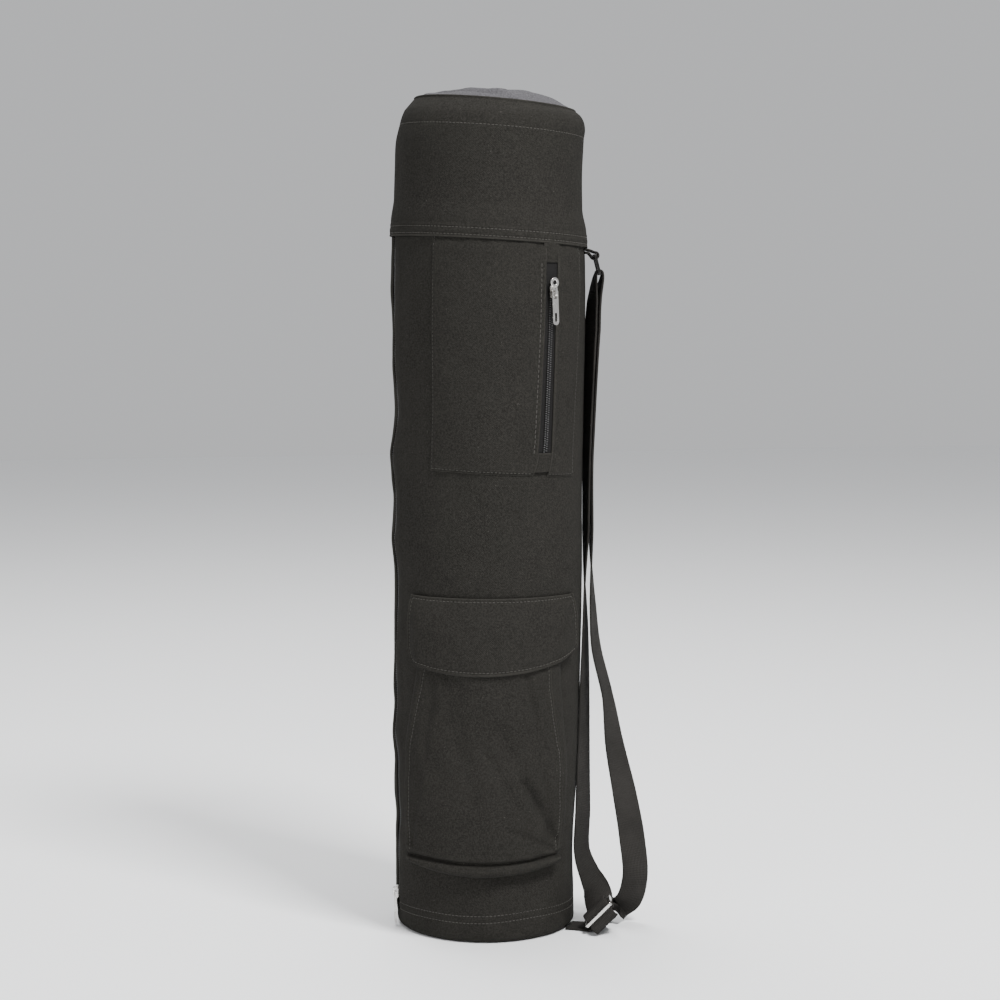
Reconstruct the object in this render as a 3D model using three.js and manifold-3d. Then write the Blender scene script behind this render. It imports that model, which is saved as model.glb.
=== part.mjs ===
import * as THREE from 'three';
import { mergeVertices } from 'three/addons/utils/BufferGeometryUtils.js';
import Module from 'manifold-3d';

// A yoga mat bag that stands upright: a tall canvas tube with a closed zip down its left side,
// a zip pocket and a cargo pocket on its front, and a shoulder strap down its right side.
// Millimetres. +Z is up, the front faces -Y, and the origin is on the floor under the bag's axis.
// Angles go round the bag in degrees: 0 is the front, 90 is +X and -90 is -X.

// Driving dimensions of the bag
const BAG_RADIUS = 82.5;
const HEM_HEIGHT = 594;
const BAND_HEIGHT = 112;
const RIM_HEIGHT = HEM_HEIGHT + BAND_HEIGHT;
const DOME_RISE = 17;
const DOME_ROUND = 0.96;
const BASE_CORNER = 6;
const CANVAS = 1.5;
const FIT_GAP = 0.3;
const SEWN_GAP = 0.5;

// Top band: its hem laps over the body and runs a little lower on the right
const HEM_TILT = 5;
const HEM_LAP = 14;

// Main zip
const ZIP_ANGLE = -90;
const ZIP_FOOT = 14;
const ZIP_OPENING = 9;
const ZIP_TAPE_WIDTH = 14;
const ZIP_TAPE = 0.8;
const CHAIN_WIDTH = 4.2;
const CHAIN = 1.4;
const MAIN_SLIDER_HEIGHT = 30;

// Zip sliders and pull tabs, the same on both zips
const ZIP_SLIDER_WIDTH = 7.5;
const ZIP_SLIDER_LENGTH = 11.5;
const ZIP_SLIDER_PLATE = 1.6;
const CROWN_LENGTH = 8;
const CROWN_WIDTH = 2.2;
const CROWN_BAR = 1;
const PULL_LENGTH = 28;
const PULL_WIDTH = 6.4;
const PULL_PLATE = 1.1;
const PULL_WINDOW = 5.6;
const PULL_RAIL = 1.1;
const PULL_PLAY = 0.5;

// Zip pocket
const POCKET_HEIGHT = 195;
const POCKET_FOOT = HEM_HEIGHT - POCKET_HEIGHT;
const POCKET_TILT = 4.5;
const POCKET_CLOTH = 1.2;
const POCKET_HEM = 3;
const WINDOW_MARGIN = 18;
const WINDOW_TOP = HEM_HEIGHT - WINDOW_MARGIN;
const WINDOW_FOOT = POCKET_FOOT + WINDOW_MARGIN;
const SLIDER_DROP = 24;
const POCKET_SLIDER_HEIGHT = WINDOW_TOP - SLIDER_DROP;
const SLIDER_LEAN = -2;
const PULL_SWAY = 2.5;

// Cargo pocket and its flap
const CARGO_FOOT = 57;
const CARGO_MOUTH = 262;
const CARGO_SAG = 6;
const CARGO_DEPTH = 10.5;
const GUSSET = 0.09;
const FLAP_TOP = 296;
const FLAP_DROP = 65;
const FLAP_SAG = 14;
const FLAP_WALL = 2.2;
const FLAP_SIDE = 0.55;
const FLAP_MIDDLE = -15;
const FLAP_HALF = 55;

// Strap
const STRAP_ANGLE = 78;
const STRAP_WIDTH = 25;
const STRAP_WALL = 1.8;
const STRAP_PLAY = 0.6;
const TAIL_ANGLE = 60;
const RING_WIRE = 2.4;
const RING_HEIGHT = 16;
const RING_LEAN = 14;
const RING_REACH = 8.5;
const RING_DROP = 6;
const GLIDE_PITCH = 12;
const GLIDE_BAR = 3;
const GLIDE_SIDE = 2;
const GLIDE_PLATE = 2.5;
const GLIDE_OUT = 96;
const GLIDE_FRONT = 38;
const GLIDE_LIFT = 17.5;
const GLIDE_TILT = 45;

// Fineness of the faceted surfaces, in degrees round the bag
const CANVAS_STEP = 10;
const ROW_STEP = 40;
const FINE_STEP = 5.5;

// Colours and finishes
const canvas = new THREE.MeshStandardMaterial({ color: 0x38352f, roughness: 0.92, metalness: 0 });
const discCanvas = new THREE.MeshStandardMaterial({ color: 0x4a484b, roughness: 0.92, metalness: 0 });
const webbing = new THREE.MeshStandardMaterial({ color: 0x393531, roughness: 0.85, metalness: 0 });
const tape = new THREE.MeshStandardMaterial({ color: 0x22211f, roughness: 0.85, metalness: 0 });
const coil = new THREE.MeshStandardMaterial({ color: 0x2a2a2a, roughness: 0.5, metalness: 0 });
const nickel = new THREE.MeshStandardMaterial({ color: 0xcfcac4, roughness: 0.25, metalness: 1 });
const blackMetal = new THREE.MeshStandardMaterial({ color: 0x1c1b1a, roughness: 0.4, metalness: 0.8 });

// Outline of the filled bag: radii at the left and right sides as shares of the bag radius,
// by height as a share of the rim height
const RIGHT_SIDE = 76;
const SECTIONS = [
  { height: 0.0, left: 0.957, right: 0.92 },
  { height: 0.05, left: 0.962, right: 0.915 },
  { height: 0.1, left: 0.952, right: 0.93 },
  { height: 0.2, left: 0.972, right: 0.955 },
  { height: 0.3, left: 0.984, right: 0.98 },
  { height: 0.43, left: 0.972, right: 1.0 },
  { height: 0.53, left: 0.978, right: 0.998 },
  { height: 0.65, left: 0.975, right: 1.012 },
  { height: 0.77, left: 0.98, right: 1.028 },
  { height: 0.84, left: 0.982, right: 1.018 },
  { height: 0.88, left: 0.972, right: 0.995 },
  { height: 0.92, left: 0.962, right: 0.99 },
  { height: 0.963, left: 0.943, right: 1.005 },
  { height: 0.98, left: 0.912, right: 1.018 },
  { height: 0.992, left: 0.884, right: 0.98 },
  { height: 1.0, left: 0.855, right: 0.9 },
];

// Soft dents and bulges of the body: place, reach each way and depth.
// Heights and reaches up are shares of the rim height, depths are shares of the bag radius.
const FOLDS = [
  { angle: -92, wide: 26, height: 0.585, tall: 0.022, depth: 0.034 },
  { angle: -92, wide: 26, height: 0.478, tall: 0.02, depth: 0.028 },
  { angle: -92, wide: 24, height: 0.24, tall: 0.024, depth: 0.034 },
  { angle: -92, wide: 22, height: 0.7, tall: 0.02, depth: 0.012 },
  { angle: -92, wide: 22, height: 0.64, tall: 0.02, depth: -0.012 },
  { angle: -92, wide: 22, height: 0.53, tall: 0.018, depth: -0.012 },
  { angle: -90, wide: 22, height: 0.135, tall: 0.02, depth: -0.012 },
  { angle: 150, wide: 30, height: 0.3, tall: 0.05, depth: -0.02 },
  { angle: 190, wide: 34, height: 0.62, tall: 0.05, depth: -0.018 },
  { angle: 215, wide: 24, height: 0.42, tall: 0.03, depth: 0.016 },
];

// Edges of the zip pocket and its window, in degrees, by height between the pocket's foot and the
// band's hem as a share
const POCKET_EDGES = [
  { height: 0.0, left: -48, windowLeft: 16, windowRight: 25.6, right: 49 },
  { height: 0.09, left: -47.5, windowLeft: 18.8, windowRight: 27.7, right: 49.5 },
  { height: 0.37, left: -47, windowLeft: 20.9, windowRight: 29, right: 51.5 },
  { height: 0.64, left: -46.5, windowLeft: 22.5, windowRight: 29.9, right: 53.5 },
  { height: 1.0, left: -45.5, windowLeft: 23.5, windowRight: 31.8, right: 55.5 },
];

// Edges of the cargo pocket, in degrees, by height above its foot as a share of its height: where
// its front turns in, where its gusset meets the body, and how far its front stands out as a
// share of its depth. The dip low down is the crease above the rolled foot.
const CARGO_EDGES = [
  { height: 0.0, leftFoot: -64, left: -60, right: 32, rightFoot: 37, stand: 0.0 },
  { height: 0.012, leftFoot: -66, left: -61, right: 33, rightFoot: 38, stand: 0.72 },
  { height: 0.032, leftFoot: -68, left: -63, right: 34, rightFoot: 39, stand: 0.97 },
  { height: 0.06, leftFoot: -68.5, left: -64, right: 34, rightFoot: 40, stand: 0.78 },
  { height: 0.085, leftFoot: -69, left: -64, right: 34, rightFoot: 40, stand: 0.95 },
  { height: 0.3, leftFoot: -68, left: -62.5, right: 34, rightFoot: 42, stand: 0.95 },
  { height: 0.55, leftFoot: -65, left: -59, right: 31, rightFoot: 41, stand: 0.92 },
  { height: 0.8, leftFoot: -58, left: -51, right: 25, rightFoot: 36, stand: 0.86 },
  { height: 1.0, leftFoot: -54, left: -46, right: 24, rightFoot: 34, stand: 0.8 },
];

// Side edges of the flap, in degrees, by share of the way down it
const FLAP_EDGES = [
  { height: 0.0, left: -63.5, right: 47 },
  { height: 0.5, left: -62.5, right: 47 },
  { height: 0.78, left: -62, right: 47.6 },
  { height: 0.93, left: -60, right: 47 },
  { height: 1.0, left: -56.5, right: 44.5 },
];

// Soft folds of the cargo pocket's front: a line from one place to another, as shares of the
// pocket's width and height, with its half width as a share of the width and its depth in the stand
const CARGO_FOLDS = [
  { fromAcross: 0.95, fromUp: 0.1, toAcross: 0.6, toUp: 0.62, wide: 0.05, depth: 0.16 },
  { fromAcross: 0.8, fromUp: 0.06, toAcross: 0.98, toUp: 0.5, wide: 0.04, depth: -0.14 },
  { fromAcross: 0.08, fromUp: 0.2, toAcross: 0.2, toUp: 0.75, wide: 0.05, depth: -0.1 },
];

// Centre line of the strap: from the bag's foot to the slider, up beside the bag to the ring, and
// down again further out. Places out from the axis and towards the front are shares of the bag
// radius, heights are shares of the rim height, and across is the direction of the webbing's width
// as out, front and up.
const TAIL_ROUTE = [
  { out: 1.02, front: 0.33, height: 0.002, across: [-0.25, 0.97, 0] },
  { out: 1.15, front: 0.41, height: 0.0038, across: [-0.6, 0.8, -0.05] },
  { out: 1.225, front: 0.55, height: 0.0125, across: [-0.85, 0.2, -0.42] },
];
const INNER_ROUTE = [
  { out: 1.165, front: 0.15, height: 0.042, across: [0.66, -0.4, 0.63] },
  { out: 1.085, front: 0.13, height: 0.062, across: [0.62, -0.72, 0.3] },
  { out: 1.005, front: 0.125, height: 0.09, across: [0.55, -0.83, 0.02] },
  { out: 1.013, front: 0.105, height: 0.14, across: [0.54, -0.84, 0] },
  { out: 1.02, front: 0.085, height: 0.21, across: [0.45, -0.89, 0] },
  { out: 1.031, front: 0.06, height: 0.3, across: [0.34, -0.94, 0] },
  { out: 1.036, front: 0.04, height: 0.37, across: [0.2, -0.98, 0] },
  { out: 1.03, front: 0.02, height: 0.43, across: [0.02, -1, 0] },
  { out: 1.04, front: 0.01, height: 0.49, across: [-0.16, -0.98, 0] },
  { out: 1.046, front: 0, height: 0.57, across: [-0.2, -0.98, 0] },
  { out: 1.056, front: 0, height: 0.62, across: [-0.24, -0.97, 0] },
  { out: 1.07, front: 0, height: 0.68, across: [-0.3, -0.95, 0] },
  { out: 1.086, front: 0, height: 0.735, across: [-0.36, -0.93, 0] },
  { out: 1.102, front: 0, height: 0.77, across: [-0.3, -0.95, 0] },
];
const OUTER_ROUTE = [
  { out: 1.148, front: 0, height: 0.77, across: [-0.26, -0.97, 0] },
  { out: 1.127, front: 0, height: 0.735, across: [-0.34, -0.94, 0] },
  { out: 1.106, front: 0, height: 0.68, across: [-0.28, -0.96, 0] },
  { out: 1.09, front: 0, height: 0.62, across: [-0.22, -0.98, 0] },
  { out: 1.078, front: 0, height: 0.57, across: [-0.18, -0.98, 0] },
  { out: 1.092, front: 0.01, height: 0.49, across: [-0.1, -0.99, 0] },
  { out: 1.1, front: 0.03, height: 0.44, across: [0.06, -1, 0] },
  { out: 1.115, front: 0.05, height: 0.395, across: [0.22, -0.97, 0] },
  { out: 1.15, front: 0.07, height: 0.345, across: [0.33, -0.94, 0] },
  { out: 1.27, front: 0.1, height: 0.285, across: [0.38, -0.92, 0] },
  { out: 1.345, front: 0.13, height: 0.225, across: [0.66, -0.75, 0] },
  { out: 1.45, front: 0.17, height: 0.165, across: [0.84, -0.54, 0] },
  { out: 1.53, front: 0.2, height: 0.11, across: [0.88, -0.4, 0] },
  { out: 1.565, front: 0.2, height: 0.06, across: [0.86, -0.4, -0.3] },
  { out: 1.49, front: 0.16, height: 0.028, across: [0.78, -0.3, -0.4] },
  { out: 1.36, front: 0.12, height: 0.0175, across: [0.78, 0.1, 0.1] },
];

const wasm = await Module();
wasm.setup();

// Small helpers
const radians = THREE.MathUtils.degToRad;
const mix = THREE.MathUtils.lerp;
const smooth = (from, to, value) => THREE.MathUtils.smoothstep(value, from, to);

function shareOfWay(rows, value) {
  let row = 0;
  while (row < rows.length - 2 && rows[row + 1].height < value) row += 1;
  const share = (value - rows[row].height) / (rows[row + 1].height - rows[row].height);
  return { row, share: THREE.MathUtils.clamp(share, 0, 1) };
}

// Reads one column of a table at a height, along a smooth curve through its rows
function readTable(rows, column, value) {
  const { row, share } = shareOfWay(rows, value);
  const here = rows[row];
  const next = rows[row + 1];
  const before = rows[Math.max(row - 1, 0)];
  const after = rows[Math.min(row + 2, rows.length - 1)];
  const span = next.height - here.height;
  const slopeHere = ((next[column] - before[column]) / (next.height - before.height)) * span;
  const slopeNext = ((after[column] - here[column]) / (after.height - here.height)) * span;
  const rise = next[column] - here[column];
  const curve = share * share * (3 - 2 * share) * rise;
  const leave = share * (1 - share) * (1 - share) * slopeHere;
  const arrive = share * share * (share - 1) * slopeNext;
  return here[column] + curve + leave + arrive;
}

function turnBetween(first, second) {
  const turn = ((first - second) % 360 + 540) % 360 - 180;
  return Math.abs(turn);
}

// Radius of the filled bag's skin at an angle and a height
function skin(angle, height) {
  const share = THREE.MathUtils.clamp(height / RIM_HEIGHT, 0, 1);
  const rightward = (1 + Math.cos(radians(angle - RIGHT_SIDE))) / 2;
  let radius = mix(readTable(SECTIONS, 'left', share), readTable(SECTIONS, 'right', share), rightward);
  for (const fold of FOLDS) {
    const round = turnBetween(angle, fold.angle) / fold.wide;
    const along = (share - fold.height) / fold.tall;
    radius += fold.depth * Math.exp(-round * round - along * along);
  }
  return BAG_RADIUS * radius;
}

function polar(angle, radius, height) {
  return new THREE.Vector3(radius * Math.sin(radians(angle)), -radius * Math.cos(radians(angle)), height);
}

// A place that stands off the skin
function onSkin(angle, height, off = 0) {
  return polar(angle, skin(angle, height) + off, height);
}

function hemHeight(angle) {
  return HEM_HEIGHT - HEM_TILT * Math.sin(radians(angle));
}

// Even values from one to another, no further apart than a step
function spread(from, to, step) {
  const count = Math.max(1, Math.ceil(Math.abs(to - from) / step - 1e-6));
  return Array.from({ length: count + 1 }, (_, index) => mix(from, to, index / count));
}

function solidFrom(points, faces) {
  const loose = new THREE.BufferGeometry();
  loose.setAttribute('position', new THREE.Float32BufferAttribute(points.flatMap((p) => p.toArray()), 3));
  loose.setIndex(faces.flat());
  const merged = mergeVertices(loose, 1e-4);
  const index = merged.getIndex().array;
  const kept = [];
  for (let at = 0; at < index.length; at += 3) {
    const [a, b, c] = index.slice(at, at + 3);
    if (a !== b && b !== c && a !== c) kept.push(a, b, c);
  }
  merged.setIndex(kept);
  merged.computeVertexNormals();
  return merged;
}

// A closed wall between an outer and an inner face, each a function of two grid values.
// A ring closes on itself, and cells that are open leave a hole through the wall.
function wall(acrossValues, upValues, outer, inner, { ring = false, open = () => false } = {}) {
  const across = acrossValues.length;
  const columns = ring ? across : across - 1;
  const rows = upValues.length - 1;
  const points = [];
  for (const face of [outer, inner]) {
    for (const up of upValues) {
      for (const value of acrossValues) points.push(face(value, up));
    }
  }
  const point = (side, column, row) => side * across * (rows + 1) + row * across + (column % across);
  const faces = [];
  const quad = (a, b, c, d) => faces.push([a, b, c], [a, c, d]);
  const missing = (column, row) => {
    if (row < 0 || row >= rows) return true;
    if (!ring && (column < 0 || column >= columns)) return true;
    return open((column + columns) % columns, row);
  };
  for (let row = 0; row < rows; row += 1) {
    for (let column = 0; column < columns; column += 1) {
      if (missing(column, row)) continue;
      const [c, r] = [column + 1, row + 1];
      quad(point(0, column, row), point(0, c, row), point(0, c, r), point(0, column, r));
      quad(point(1, column, row), point(1, column, r), point(1, c, r), point(1, c, row));
      if (missing(column, row - 1)) {
        quad(point(1, column, row), point(1, c, row), point(0, c, row), point(0, column, row));
      }
      if (missing(column, r)) {
        quad(point(0, column, r), point(0, c, r), point(1, c, r), point(1, column, r));
      }
      if (missing(column - 1, row)) {
        quad(point(0, column, row), point(0, column, r), point(1, column, r), point(1, column, row));
      }
      if (missing(c, row)) {
        quad(point(1, c, row), point(1, c, r), point(0, c, r), point(0, c, row));
      }
    }
  }
  return solidFrom(points, faces);
}

// A face's inner side, one wall thickness along its normal
function inside(face, thickness) {
  const step = 1e-3;
  return (across, up) => {
    const here = face(across, up);
    const along = face(across + step, up).sub(face(across - step, up));
    const upward = face(across, up + step).sub(face(across, up - step));
    return here.addScaledVector(along.cross(upward).normalize(), -thickness);
  };
}

function mesh(name, geometry, material) {
  const piece = new THREE.Mesh(geometry, material);
  piece.name = name;
  return piece;
}

// Angles of the pieces that go all the way round: one column of them is the main zip's opening
const halfOpening = THREE.MathUtils.radToDeg(ZIP_OPENING / 2 / BAG_RADIUS);
const slotStart = ZIP_ANGLE - halfOpening;
const slotEnd = ZIP_ANGLE + halfOpening;
const AROUND = spread(slotEnd, slotStart + 360, CANVAS_STEP);

// Top disc: a crowned disc inside the rim seam
function topDisc() {
  const rimLift = Math.sqrt(1 - DOME_ROUND);
  const crown = (angle, inward) => {
    const share = 1 - inward;
    const lift = (Math.sqrt(1 - DOME_ROUND * share * share) - rimLift) / (1 - rimLift);
    const radius = (skin(angle, RIM_HEIGHT) - CANVAS - FIT_GAP) * share;
    return polar(angle, radius, RIM_HEIGHT + DOME_RISE * lift);
  };
  const lining = (angle, inward) => crown(angle, inward).sub(new THREE.Vector3(0, 0, CANVAS));
  const rings = [0, 0.07, 0.2, 0.4, 0.65, 1];
  return mesh('top_disc', wall(AROUND, rings, crown, lining, { ring: true }), discCanvas);
}

// Top band: its hem stands off the skin by the body's wall, and its shoulder closes in to the rim
function bandFace(angle, share) {
  const hem = hemHeight(angle);
  const height = mix(hem, RIM_HEIGHT, share);
  const lapped = 1 - smooth(hem + HEM_LAP, hem + 2.4 * HEM_LAP, height);
  return onSkin(angle, height, (CANVAS + FIT_GAP) * lapped);
}

function topBand() {
  const rows = [0, 0.07, 0.15, 0.32, 0.52, 0.72, 0.84, 0.91, 0.96, 1];
  return mesh('top_band', wall(AROUND, rows, bandFace, inside(bandFace, CANVAS), { ring: true }), canvas);
}

// Body panel: its foot turns in round the base corner, and the main zip's opening is a slot
// from the zip's foot to the panel's top edge under the band
function bodyFace(angle, height) {
  const drop = Math.max(0, BASE_CORNER - height);
  const inset = BASE_CORNER - Math.sqrt(Math.max(0, BASE_CORNER * BASE_CORNER - drop * drop));
  return onSkin(angle, height, -inset);
}

// Heights of the body's rows above the zip's foot: even ones, and those that the folds need
const lapFoot = HEM_HEIGHT - 2 * Math.abs(HEM_TILT) - 2 * HEM_LAP / 3;

function bodyRows() {
  const puckers = FOLDS.filter((fold) => fold.depth > fold.tall);
  const folds = puckers.flatMap((fold) => [-1.3, 0, 1.3].map(
    (side) => (fold.height + side * fold.tall) * RIM_HEIGHT,
  ));
  const apart = ROW_STEP / 3;
  const needed = folds.filter((height) => height > ZIP_FOOT + apart && height < lapFoot - apart);
  const rows = [ZIP_FOOT, lapFoot];
  for (const height of [...needed, ...spread(ZIP_FOOT, lapFoot, ROW_STEP)]) {
    if (rows.every((row) => Math.abs(row - height) > apart)) rows.push(height);
  }
  return rows.sort((first, second) => first - second);
}

const BODY_ROWS = bodyRows();

function bodyPanel() {
  const corner = [0, 0.18, 0.5, 1].map((share) => BASE_CORNER * share);
  const heights = [...corner, ...BODY_ROWS, HEM_HEIGHT + HEM_LAP];
  const slotFrom = corner.length;
  const lift = (angle, height) => (height > lapFoot ? hemHeight(angle) - HEM_HEIGHT - 2 * FIT_GAP : 0);
  const face = (angle, height) => bodyFace(angle, height + lift(angle, height));
  const lining = (angle, height) => {
    const place = face(angle, height);
    return polar(angle, Math.hypot(place.x, place.y) - CANVAS, Math.max(place.z, CANVAS));
  };
  const open = (column, row) => column === AROUND.length - 1 && row >= slotFrom;
  return mesh('body_panel', wall(AROUND, heights, face, lining, { ring: true, open }), canvas);
}

// Bottom disc: flat on the floor, inside the body panel's turned foot
function bottomDisc() {
  const level = (height) => (angle, share) => {
    const foot = bodyFace(angle, 0);
    const radius = Math.hypot(foot.x, foot.y) - CANVAS - FIT_GAP;
    return polar(angle, radius * share, height);
  };
  return mesh('bottom_disc', wall(AROUND, [0, 1], level(0), level(CANVAS), { ring: true }), canvas);
}

// A strip that follows the skin along a line, between two distances from it
function strip(line, fromOff, toOff, left, right, heights, columns = 1) {
  const place = (off) => (across, height) => {
    const angle = line(height);
    const turn = THREE.MathUtils.radToDeg(across / BAG_RADIUS);
    return onSkin(angle + turn, height, off);
  };
  return wall(spread(left, right, (right - left) / columns), heights, place(toOff), place(fromOff));
}

// A frame on the skin: x round the bag, y up along the skin, z out from it
function station(angle, height, off, lean = 0) {
  const up = onSkin(angle, height + 3).sub(onSkin(angle, height - 3)).normalize();
  const round = new THREE.Vector3(Math.cos(radians(angle)), Math.sin(radians(angle)), 0);
  const out = round.clone().cross(up).normalize();
  const upright = out.clone().cross(round);
  const frame = new THREE.Group();
  frame.quaternion.setFromRotationMatrix(new THREE.Matrix4().makeBasis(round, upright, out));
  frame.rotateZ(radians(lean));
  frame.position.copy(onSkin(angle, height, off));
  return frame;
}

// Joins closed geometries into one body
function fuse(...geometries) {
  const solids = geometries.map((geometry) => {
    const bare = geometry.clone();
    bare.deleteAttribute('normal');
    bare.deleteAttribute('uv');
    const merged = mergeVertices(bare, 1e-4);
    const vertProperties = new Float32Array(merged.getAttribute('position').array);
    const triVerts = new Uint32Array(merged.getIndex().array);
    return new wasm.Manifold(new wasm.Mesh({ numProp: 3, vertProperties, triVerts }));
  });
  const joined = solids.reduce((sum, solid) => sum.add(solid)).getMesh();
  const geometry = new THREE.BufferGeometry();
  geometry.setAttribute('position', new THREE.BufferAttribute(joined.vertProperties, 3));
  geometry.setIndex(new THREE.BufferAttribute(joined.triVerts, 1));
  geometry.computeVertexNormals();
  return geometry;
}

function roundedOutline(left, right, foot, top, footRadius, topRadius) {
  const shape = new THREE.Shape();
  const half = Math.PI / 2;
  shape.absarc(left + footRadius, foot + footRadius, footRadius, 2 * half, 3 * half, false);
  shape.absarc(right - footRadius, foot + footRadius, footRadius, 3 * half, 4 * half, false);
  shape.absarc(right - topRadius, top - topRadius, topRadius, 0, half, false);
  shape.absarc(left + topRadius, top - topRadius, topRadius, half, 2 * half, false);
  shape.closePath();
  return shape;
}

function plate(shape, thickness) {
  const options = { depth: thickness, bevelEnabled: false, curveSegments: 2 };
  const geometry = new THREE.ExtrudeGeometry(shape, options);
  return geometry.translate(0, 0, -thickness / 2);
}

// Zip slider: a plate over the chain with a crown that the pull tab's bar passes under
const pivotRise = PULL_PLATE * Math.SQRT1_2 + PULL_PLAY;

function sliderGeometry() {
  const half = ZIP_SLIDER_WIDTH / 2;
  const reach = ZIP_SLIDER_LENGTH / 2;
  const outline = roundedOutline(-half, half, -reach, reach, half * 0.5, half * 0.9);
  const base = plate(outline, ZIP_SLIDER_PLATE).translate(0, 0, ZIP_SLIDER_PLATE / 2);
  const top = 2 * pivotRise + CROWN_BAR;
  const sink = ZIP_SLIDER_PLATE / 2;
  const arch = roundedOutline(-CROWN_LENGTH / 2, CROWN_LENGTH / 2, -sink, top, 0.01, 1.4);
  const eye = CROWN_LENGTH / 2 - CROWN_BAR;
  arch.holes.push(roundedOutline(-eye, eye, 0, 2 * pivotRise, 0.01, 0.8));
  const crown = plate(arch, CROWN_WIDTH);
  crown.rotateX(Math.PI / 2).rotateZ(Math.PI / 2).translate(0, 0, ZIP_SLIDER_PLATE);
  return fuse(base, crown);
}

// Pull tab: its top bar lies on the frame's origin, under the crown
function pullGeometry() {
  const half = PULL_WIDTH / 2;
  const bar = PULL_PLATE / 2;
  const tab = roundedOutline(-half, half, -PULL_LENGTH, bar, half * 0.95, 0.6);
  tab.holes.push(roundedOutline(-half + PULL_RAIL, half - PULL_RAIL, -bar - PULL_WINDOW, -bar, 0.5, 0.3));
  const slot = PULL_WIDTH * 0.17;
  const slotFoot = -PULL_LENGTH + PULL_WIDTH * 0.4;
  tab.holes.push(roundedOutline(-slot, slot, slotFoot, slotFoot + PULL_WIDTH * 1.2, slot * 0.9, slot * 0.9));
  return plate(tab, PULL_PLATE);
}

function zipSliderAndPull(prefix, angle, height, chainTop, sliderLean, pullLean) {
  const slider = station(angle, height, chainTop + FIT_GAP, sliderLean);
  slider.add(mesh(`${prefix}_slider`, sliderGeometry(), nickel));
  const pull = station(angle, height, chainTop + FIT_GAP + ZIP_SLIDER_PLATE + pivotRise, pullLean);
  pull.add(mesh(`${prefix}_pull`, pullGeometry(), nickel));
  return [slider, pull];
}

// Main zip: two tapes behind the opening, the closed chain between its edges, and the slider at
// the foot
const mainTapeTop = -CANVAS - 2 * FIT_GAP;
const mainChainTop = mainTapeTop + FIT_GAP + CHAIN;

function mainZip() {
  const line = () => ZIP_ANGLE;
  const top = HEM_HEIGHT + Math.abs(HEM_TILT) + FIT_GAP;
  const heights = [ZIP_FOOT - ZIP_TAPE_WIDTH / 2, ...BODY_ROWS, top];
  const above = BODY_ROWS.filter((row) => row > 1.2 * MAIN_SLIDER_HEIGHT);
  const chainHeights = [MAIN_SLIDER_HEIGHT, ...above, top];
  const half = ZIP_TAPE_WIDTH / 2;
  const seam = FIT_GAP / 2;
  const foot = mainTapeTop - ZIP_TAPE;
  const rear = strip(line, foot, mainTapeTop, -half, -seam, heights);
  const front = strip(line, foot, mainTapeTop, seam, half, heights);
  const width = CHAIN_WIDTH / 2;
  const chain = strip(line, mainTapeTop + FIT_GAP, mainChainTop, -width, width, chainHeights);
  return [
    mesh('main_zip_rear_tape', rear, tape),
    mesh('main_zip_front_tape', front, tape),
    mesh('main_zip_chain', chain, coil),
    ...zipSliderAndPull('main_zip', ZIP_ANGLE, MAIN_SLIDER_HEIGHT, mainChainTop, 0, 0),
  ];
}

// Zip pocket: a flat patch sewn on below the band's hem, in two panels beside the zip's window
const tapeSeat = FIT_GAP + ZIP_TAPE + FIT_GAP;

function pocketHeight(angle, share) {
  const foot = POCKET_FOOT - POCKET_TILT * Math.sin(radians(angle));
  return mix(foot, hemHeight(angle) - FIT_GAP, share);
}

function pocketShare(height) {
  return (height - POCKET_FOOT) / (HEM_HEIGHT - POCKET_FOOT);
}

function pocketPanel(fromColumn, toColumn, outerEdge) {
  const face = (thickness) => (across, share) => {
    const from = readTable(POCKET_EDGES, fromColumn, share);
    const angle = mix(from, readTable(POCKET_EDGES, toColumn, share), across);
    const height = pocketHeight(angle, share);
    const edge = readTable(POCKET_EDGES, outerEdge, share);
    const inFromSide = radians(turnBetween(angle, edge)) * BAG_RADIUS;
    const inFromFoot = height - pocketHeight(angle, 0);
    const lifted = smooth(0, POCKET_HEM, Math.min(inFromSide, inFromFoot));
    return onSkin(angle, height, mix(FIT_GAP, tapeSeat, lifted) + thickness);
  };
  const span = POCKET_EDGES.at(-1)[toColumn] - POCKET_EDGES.at(-1)[fromColumn];
  const hem = POCKET_HEM / (radians(span) * BAG_RADIUS);
  const step = FINE_STEP / span;
  const inner = fromColumn === outerEdge ? spread(hem, 1, step) : spread(0, 1 - hem, step);
  const columns = fromColumn === outerEdge ? [0, ...inner] : [...inner, 1];
  const footHem = POCKET_HEM / (HEM_HEIGHT - POCKET_FOOT);
  const rows = [0, footHem, ...spread(0.1, 1, 0.15)];
  return wall(columns, rows, face(POCKET_CLOTH), face(0));
}

function windowTab(fromHeight, toHeight) {
  const edge = (column, gap) => (height) => readTable(POCKET_EDGES, column, pocketShare(height)) + gap;
  const gap = THREE.MathUtils.radToDeg((2 * FIT_GAP) / BAG_RADIUS);
  const face = (off) => (across, up) => {
    const level = mix(fromHeight, toHeight(0), up);
    const angle = mix(edge('windowLeft', gap)(level), edge('windowRight', -gap)(level), across);
    return onSkin(angle, mix(fromHeight, toHeight(angle), up), off);
  };
  return wall([0, 0.5, 1], [0, 0.5, 1], face(tapeSeat + POCKET_CLOTH / 2), face(tapeSeat));
}

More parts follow.
